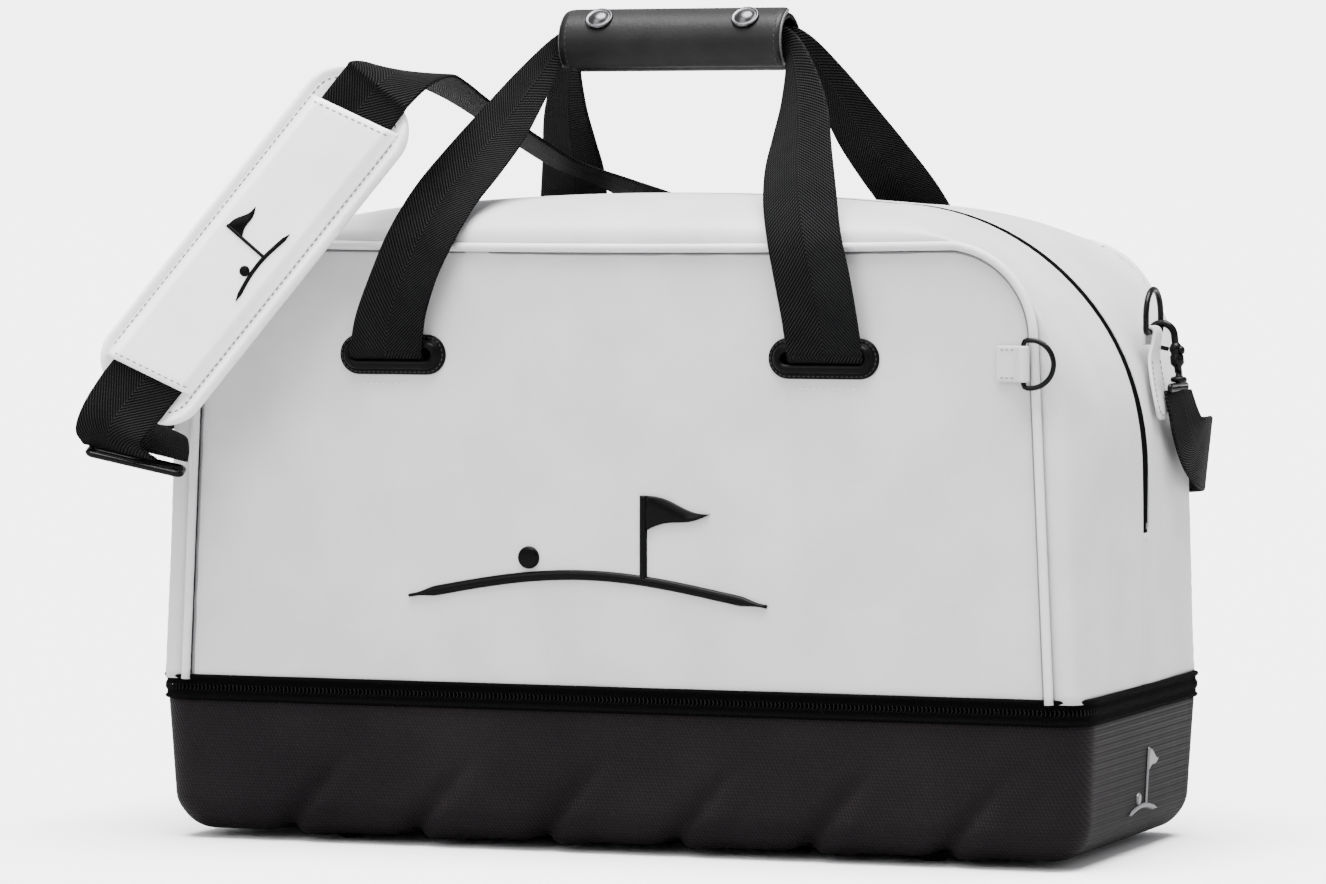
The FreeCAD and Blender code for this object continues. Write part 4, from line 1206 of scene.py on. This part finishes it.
STRAP_SHORT = stations(
    (-225.5, -136, 193, 17.5, 2.5, -4), (-229, -131, 199.5, 17.5, 6.5, -4), (-234, -122, 208, 15, 8, -8),
    (-244, -108, 213, 7, 5, -16), (-250, -85, 218, 0, 2, -19), (-251.5, -45, 221.5, 0, 1, -19),
    (-251.5, -15, 222, 0, 0, -19), (-251, 10, 219, 0, 3, -17), (-247.5, 30, 216, -1, 9, -11),
    (-244, 39.5, 218, -2, 12, -4), (-243.5, 41, 223.6, -3, 13, 0))


def strap_in_pad():
    centre, along, across, outward = pad_axes()
    level = centre + outward * 0.0055
    return [(level + along * distance, across * -WEB_HALF) for distance in (0.096, 0.078, 0, -0.080, -0.098)]


def pad_start_form():
    """The pad before it swells: a rounded slab, in its own frame."""
    half_x, half_y = PAD_LENGTH / 2 - 0.0015, PAD_WIDTH / 2 - 0.0015
    rings = []
    for inset, level in mm((6, -3.4), (1.2, -3.2), (0, -1.8), (0, 1.8), (1.2, 3.2), (6, 3.4)):
        ring = rounded_rectangle(half_x - inset, half_y - inset, 0.019 - inset, 30, 10, 8)[0]
        rings.append(at_height(ring, level))
    return ringed(rings)


def swollen(form, voxel, pressure, cap):
    """The form remeshed and blown up a little by a cloth simulation, no point moving more than the cap."""
    holder = held(form)
    remesh = holder.modifiers.new("remesh", "REMESH")
    remesh.mode = "VOXEL"
    remesh.voxel_size = voxel
    before = evaluated_form(holder)
    holder = held(before)
    cloth = holder.modifiers.new("cloth", "CLOTH").settings
    cloth.use_pressure = True
    cloth.uniform_pressure_force = pressure
    cloth.tension_stiffness = 25
    cloth.compression_stiffness = 25
    cloth.bending_stiffness = 2
    cloth.effector_weights.gravity = 0
    scene = bpy.context.scene
    for number in range(1, CLOTH_FRAMES + 1):
        scene.frame_set(number)
    shift = evaluated_form(holder)[0] - before[0]
    scene.frame_set(1)
    size = np.linalg.norm(shift, axis=1, keepdims=True)
    shift = shift * np.minimum(1, cap / np.maximum(size, 1e-9))
    return before[0] + shift, before[1], None


def subdivided(form):
    holder = held(form)
    holder.modifiers.new("finer", "SUBSURF").levels = 1
    return evaluated_form(holder)


def sleeve_height(x, y):
    """The sleeve's outer face above the pad's middle: crowned over the webbing, sewn down at its edges."""
    side = np.clip((SLEEVE_WIDTH / 2 - np.abs(y)) / 0.0060, 0, 1)
    side = side * side * (3 - 2 * side)
    end = np.clip((SLEEVE_LENGTH / 2 - np.abs(x)) / 0.004, 0, 1)
    puff = 0.0053 + 0.0036 * side * (0.80 + 0.20 * end)
    return puff + 0.00022 * side * ripple(x * 3, y * 5)


def skewed(flat):
    """The cover's ends run aslant: its points slide along the pad in step with their distance across it."""
    return flat + flat[:, 1:2] * np.array([[SLEEVE_SKEW, 0, 0]])


def sleeve_form():
    xs = np.linspace(-SLEEVE_LENGTH / 2, SLEEVE_LENGTH / 2, 70)
    ys = np.linspace(-SLEEVE_WIDTH / 2, SLEEVE_WIDTH / 2, 49)
    rows = [np.column_stack([np.full(49, x), ys, sleeve_height(np.full(49, x), ys)]) for x in xs]
    points, faces, flat = sheet(rows)
    return thickened((on_pad(skewed(points)), faces, flat), 0.0012, pad_axes()[0])


def pad_line(points):
    """A line over the sleeve from flat points in the pad's own frame."""
    return on_pad(skewed(np.column_stack([points, sleeve_height(points[:, 0], points[:, 1])])))


def pad_ring(inset, height):
    """A closed line round the pad, stepped in from its edge, at a height that sinks under the webbing."""
    ring = rounded_rectangle(PAD_LENGTH / 2 - inset, PAD_WIDTH / 2 - inset, 0.0196 - inset, 60, 20, 12)[0]
    pressed = np.clip((0.0245 - np.abs(ring[:, 1])) / 0.004, 0, 1) * (np.abs(ring[:, 0]) > 0.07)
    return np.column_stack([ring, height - pressed * max(height - 0.0036, 0)])


def pad_thread():
    """The stitches round the pad inside its rim, and across the cover's two open ends."""
    outward = pad_axes()[3]
    ring = pad_ring(0.0058, 0.0050)
    rows = [stitches(on_pad(np.vstack([ring, ring[:1]])), outward, 0.0034, 0.0023, 0.00042)]
    half_x, half_y = SLEEVE_LENGTH / 2, SLEEVE_WIDTH / 2
    for sign in (-1, 1):
        line = np.column_stack([np.full(30, sign * (half_x - 0.0030)),
                                np.linspace(-half_y + 0.003, half_y - 0.003, 30)])
        rows.append(stitches(pad_line(line), outward, 0.0034, 0.0023, 0.00034))
    return merged(rows)


def pad_rim_form():
    """The hem round the pad's face and the rolled binding outside it."""
    profile = mm((10, 3.6), (9.4, 4.8), (5, 4.9), (4.5, 4.6), (4, 5.3), (2.6, 6.4), (1.2, 6.2), (0, 4.6),
                 (-0.4, 2.6), (0, 0.6), (2.2, -1))
    points, faces, flat = ringed([pad_ring(inset, height) for inset, height in profile], False, False)
    return on_pad(points), faces, flat


def build_strap(m):
    long_run = STRAP_LONG + strap_in_pad() + STRAP_LOOP
    piece("strap_long", ribbon(long_run, 9), m["webbing"], "upper_bag", ["strap_long_run"], "webbing")
    piece("strap_short", ribbon(STRAP_SHORT, 9), m["webbing"], "upper_bag", ["strap_short_run"], "webbing")
    points, faces, flat = swollen(pad_start_form(), 0.0042, 4.0, 0.0025)
    body = subdivided((on_pad(points), faces, flat))
    pad = piece("pad_body", body, m["pad"], "upper_bag", ["shoulder_pad"], "white_leather")
    piece("pad_rim", pad_rim_form(), m["pad"], "upper_bag", slot="white_leather")
    piece("pad_cover", sleeve_form(), m["pad"], "upper_bag", ["pad_sleeve"], "white_leather")
    piece("pad_thread", pad_thread(), m["grey_thread_and_seam_shade"], "upper_bag", slot="white_leather")


def adjuster_place(points):
    """From the slider's own frame to its place on the strap."""
    def turn(axis, degrees):
        c, s = math.cos(math.radians(degrees)), math.sin(math.radians(degrees))
        return {"x": np.array([[1, 0, 0], [0, c, -s], [0, s, c]]),
                "y": np.array([[c, 0, s], [0, 1, 0], [-s, 0, c]]),
                "z": np.array([[c, -s, 0], [s, c, 0], [0, 0, 1]])}[axis]

    whole = turn("z", 19) @ turn("y", 13) @ turn("x", 12)
    return np.asarray(points) @ whole.T + ADJUSTER_PLACE


def adjuster_form():
    """The slider's frame: a bent bar, its ends curled round the middle bar."""
    ring = rounded_rectangle(0.0232, 0.0064, 0.0030, 24, 6, 8)[0]
    frame_bar = tube(adjuster_place(at_height(ring, 0)), 0.0016, closed=True, sides=12)
    turns = around(20)
    curls = []
    for sign in (-1, 1):
        loop = np.column_stack([np.full(20, sign * 0.0226), 0.0016 * np.cos(turns), 0.0016 * np.sin(turns)])
        curls.append(tube(adjuster_place(loop), 0.0012, closed=True, sides=10, start=np.array([1.0, 0, 0])))
    return merged([frame_bar] + curls)


def build_adjuster(m):
    piece("slider_frame", adjuster_form(), m["metal"], "upper_bag", ["adjuster"], "black_metal")
    bar = tube(adjuster_place(np.linspace((-0.0216, 0, 0), (0.0216, 0, 0), 12)), 0.0013, sides=14)
    piece("slider_bar", bar, m["metal"], "upper_bag", ["adjuster_bar"], "black_metal")


# ---------------------------------------------------------------- golf marks

def raised(path, half_width, height, lift):
    """A raised gloss line: a half-round bead that follows a path; lift turns flat points into 3-D ones."""
    path = np.asarray(path, float)
    tangent = unit(np.gradient(path, axis=0))
    side = np.column_stack([-tangent[:, 1], tangent[:, 0]])
    widths = np.broadcast_to(np.asarray(half_width, float), (len(path),))
    rows = []
    for angle in np.linspace(0, math.pi, 9):
        flat = path + side * (math.cos(angle) * widths)[:, None]
        rows.append(lift(flat, height * math.sin(angle) ** 0.7 * np.ones(len(path))))
    points = np.vstack(rows)
    faces = grid_faces(9, len(path))
    columns = len(path)
    faces.append([row * columns for row in range(9)])
    faces.append([row * columns + columns - 1 for row in range(9)][::-1])
    return points, faces, None


def domed(outline_points, height, lift):
    """A raised plate with a rounded rim, from a closed flat outline."""
    outline_points = np.asarray(outline_points, float)
    centre = outline_points.mean(0)
    reach = np.linalg.norm(outline_points - centre, axis=1).mean()
    rows = []
    for inset, rise in ((0, 0), (0.05, 0.45), (0.25, 0.8), (0.6, 0.96), (1.0, 1.0)):
        shrunk = centre + (outline_points - centre) * (1 - inset * 0.00144 / reach)
        rows.append(lift(shrunk, np.full(len(shrunk), height * rise)))
    return ringed(rows, first=False)


def golf_mark(size, bead, height, lift):
    """A pennant on a pole, standing on a rolling ground line with a ball beside it."""
    t = np.linspace(0, 1, 60)
    ground = np.column_stack([(t - 0.6) * 1.55 * size, 0.075 * size * np.sin(math.pi * (1.25 * t - 0.1))])
    taper = bead * np.clip(np.minimum(t, 1 - t) * 12, 0.25, 1)
    pole = np.column_stack([np.full(20, 0.0), np.linspace(0.06 * size, size, 20)])
    edge = np.linspace(0, 1, 14)
    upper = np.column_stack([0.60 * size * edge, size * (0.99 - 0.20 * edge + 0.03 * np.sin(edge * TURN))])
    lower = np.column_stack([0.60 * size * edge, size * (0.62 + 0.17 * edge + 0.03 * np.sin(edge * TURN))])
    pennant = np.vstack([upper, lower[::-1][1:]])
    ball = size * (np.array([-0.42, 0.20]) + 0.10 * circle(28))
    return merged([raised(ground, taper, height, lift), raised(pole, bead * 0.8, height, lift),
                   domed(pennant, height, lift), domed(ball, height, lift)])


def front_mark_form():
    """The large mark on the front panel, as the CAD lays it out: ground line, flag and ball."""
    left, length, low = -0.102, 0.185, 0.127

    def lift(flat, rise):
        y = -(BELT_Y + panel_bulge(flat[:, 0], flat[:, 1])) + 0.0002 - rise
        return at_depth(flat, y)

    t = np.linspace(0, 1, 90)
    ground = np.column_stack([left + t * length, low + 0.009 * np.sin(math.pi * (1.25 * t - 0.1))])
    taper = 0.0025 * np.clip(np.minimum(t, 1 - t) * 14, 0.35, 1)
    pole_x = left + 0.66 * length
    pole = np.column_stack([np.full(24, pole_x), np.linspace(low + 0.008, low + 0.048, 24)])
    edge = np.linspace(0, 1, 24)
    sway = 0.0012 * np.sin(edge * TURN)
    upper = np.column_stack([pole_x + 0.001 + 0.033 * edge, low + 0.048 - 0.0085 * edge + sway])
    lower = np.column_stack([pole_x + 0.001 + 0.033 * edge, low + 0.031 + 0.0085 * edge + sway])
    ball = np.array([left + 0.34 * length, low + 0.017]) + 0.0055 * circle(40)
    return merged([raised(ground, taper, 0.0022, lift), raised(pole, 0.0019, 0.0022, lift),
                   domed(np.vstack([upper, lower[::-1][1:]]), 0.0021, lift), domed(ball, 0.0023, lift)])


def build_marks(m):
    piece("front_mark", front_mark_form(), m["gloss"], "upper_bag", ["front_emblem"], "emblem_gloss")

    def on_sleeve(flat, rise):
        # The mark reads up the pad: its ground line runs along the pad's length.
        points = np.column_stack([flat[:, 0], flat[:, 1] - 0.012])
        return on_pad(np.column_stack([points, sleeve_height(points[:, 0], points[:, 1]) + rise]))

    piece("pad_mark", golf_mark(0.027, 0.0011, 0.0009, on_sleeve), m["gloss"], "upper_bag", ["pad_emblem"],
          "emblem_gloss")

    def on_tray(flat, rise):
        height = flat[:, 1] + 0.021
        wall = SHELL_X - SHELL_DRAFT * (1 - (height - SHELL_LOW) / (BELT_LOW - SHELL_LOW))
        return np.column_stack([wall + rise, flat[:, 0] + 0.008, height])

    def on_tray_back(flat, rise):
        return on_tray(flat, rise) - (0.0004, 0, 0)

    piece("tray_mark", golf_mark(0.030, 0.0011, 0.0011, on_tray), m["silver"], "base", ["tray_emblem"],
          "emblem_silver")
    piece("tray_mark_edge", golf_mark(0.030, 0.0017, 0.0009, on_tray_back), m["gloss"], "base",
          slot="emblem_gloss")


# ---------------------------------------------------------------- zips and what stays from the CAD

def build_sliders(m):
    top = merged([block((-0.2462, -0.0046, 0.1585), (-0.2412, 0.0046, 0.1715), 0.0009)])
    piece("top_zip_slider", top, m["metal"], "top_slider", ["top_slider"], "black_metal", hard=True)
    arms = [block((-0.2452, side - 0.0006, 0.146), (-0.2432, side + 0.0006, 0.169),
                  0.0003) for side in (-0.0052, 0.0052)]
    tab = block((-0.2453, -0.0058, 0.128), (-0.2431, 0.0058, 0.148), 0.0008)
    pin = lathe([(0.0010, -0.0057), (0.0010, 0.0057)], (-0.2442, 0, 0.168), (0, 1, 0), 16)
    piece("top_zip_pull", merged(arms + [tab, pin]), m["metal"], "top_pull", ["top_pull"], "black_metal",
          hard=True)
    base = block((-0.2456, 0.0585, 0.0712), (-0.2404, 0.0715, 0.0806), 0.0009)
    piece("base_zip_slider", base, m["metal"], "base_slider", ["base_slider"], "black_metal", hard=True)
    arms = [block((-0.2446, 0.067, z - 0.0006), (-0.2426, 0.088, z + 0.0006), 0.0003) for z in (0.0703,
                                                                                                0.0815)]
    tab = block((-0.2447, 0.086, 0.0697), (-0.2425, 0.098, 0.0821), 0.0008)
    pin = lathe([(0.0010, -0.0060), (0.0010, 0.0060)], (-0.2436, 0.068, 0.0759), UP, 16)
    piece("base_zip_pull", merged(arms + [tab, pin]), m["metal"], "base_pull", ["base_pull"], "black_metal",
          hard=True)


def finish_cad_nodes(m):
    """Materials for the CAD nodes whose own shape is shown."""
    kept = dict(feet="rubber", base_board="board", divider_floor="lining", top_zip_tape="tape",
                top_zip_coil="coil", zip_end_stops="metal", snap_studs="snap")
    for name, material in kept.items():
        mesh_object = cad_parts[name]
        for index in range(len(mesh_object.material_slots)):
            mesh_object.material_slots[index].material = m[material]


def main():
    add_camera()
    add_stage()
    m = make_materials()
    build_tray(m)
    build_belt(m)
    build_gusset(m)
    build_panels(m)
    build_webbing(m)
    build_grip(m)
    build_hardware(m)
    build_strap(m)
    build_adjuster(m)
    build_marks(m)
    build_sliders(m)
    finish_cad_nodes(m)


main()
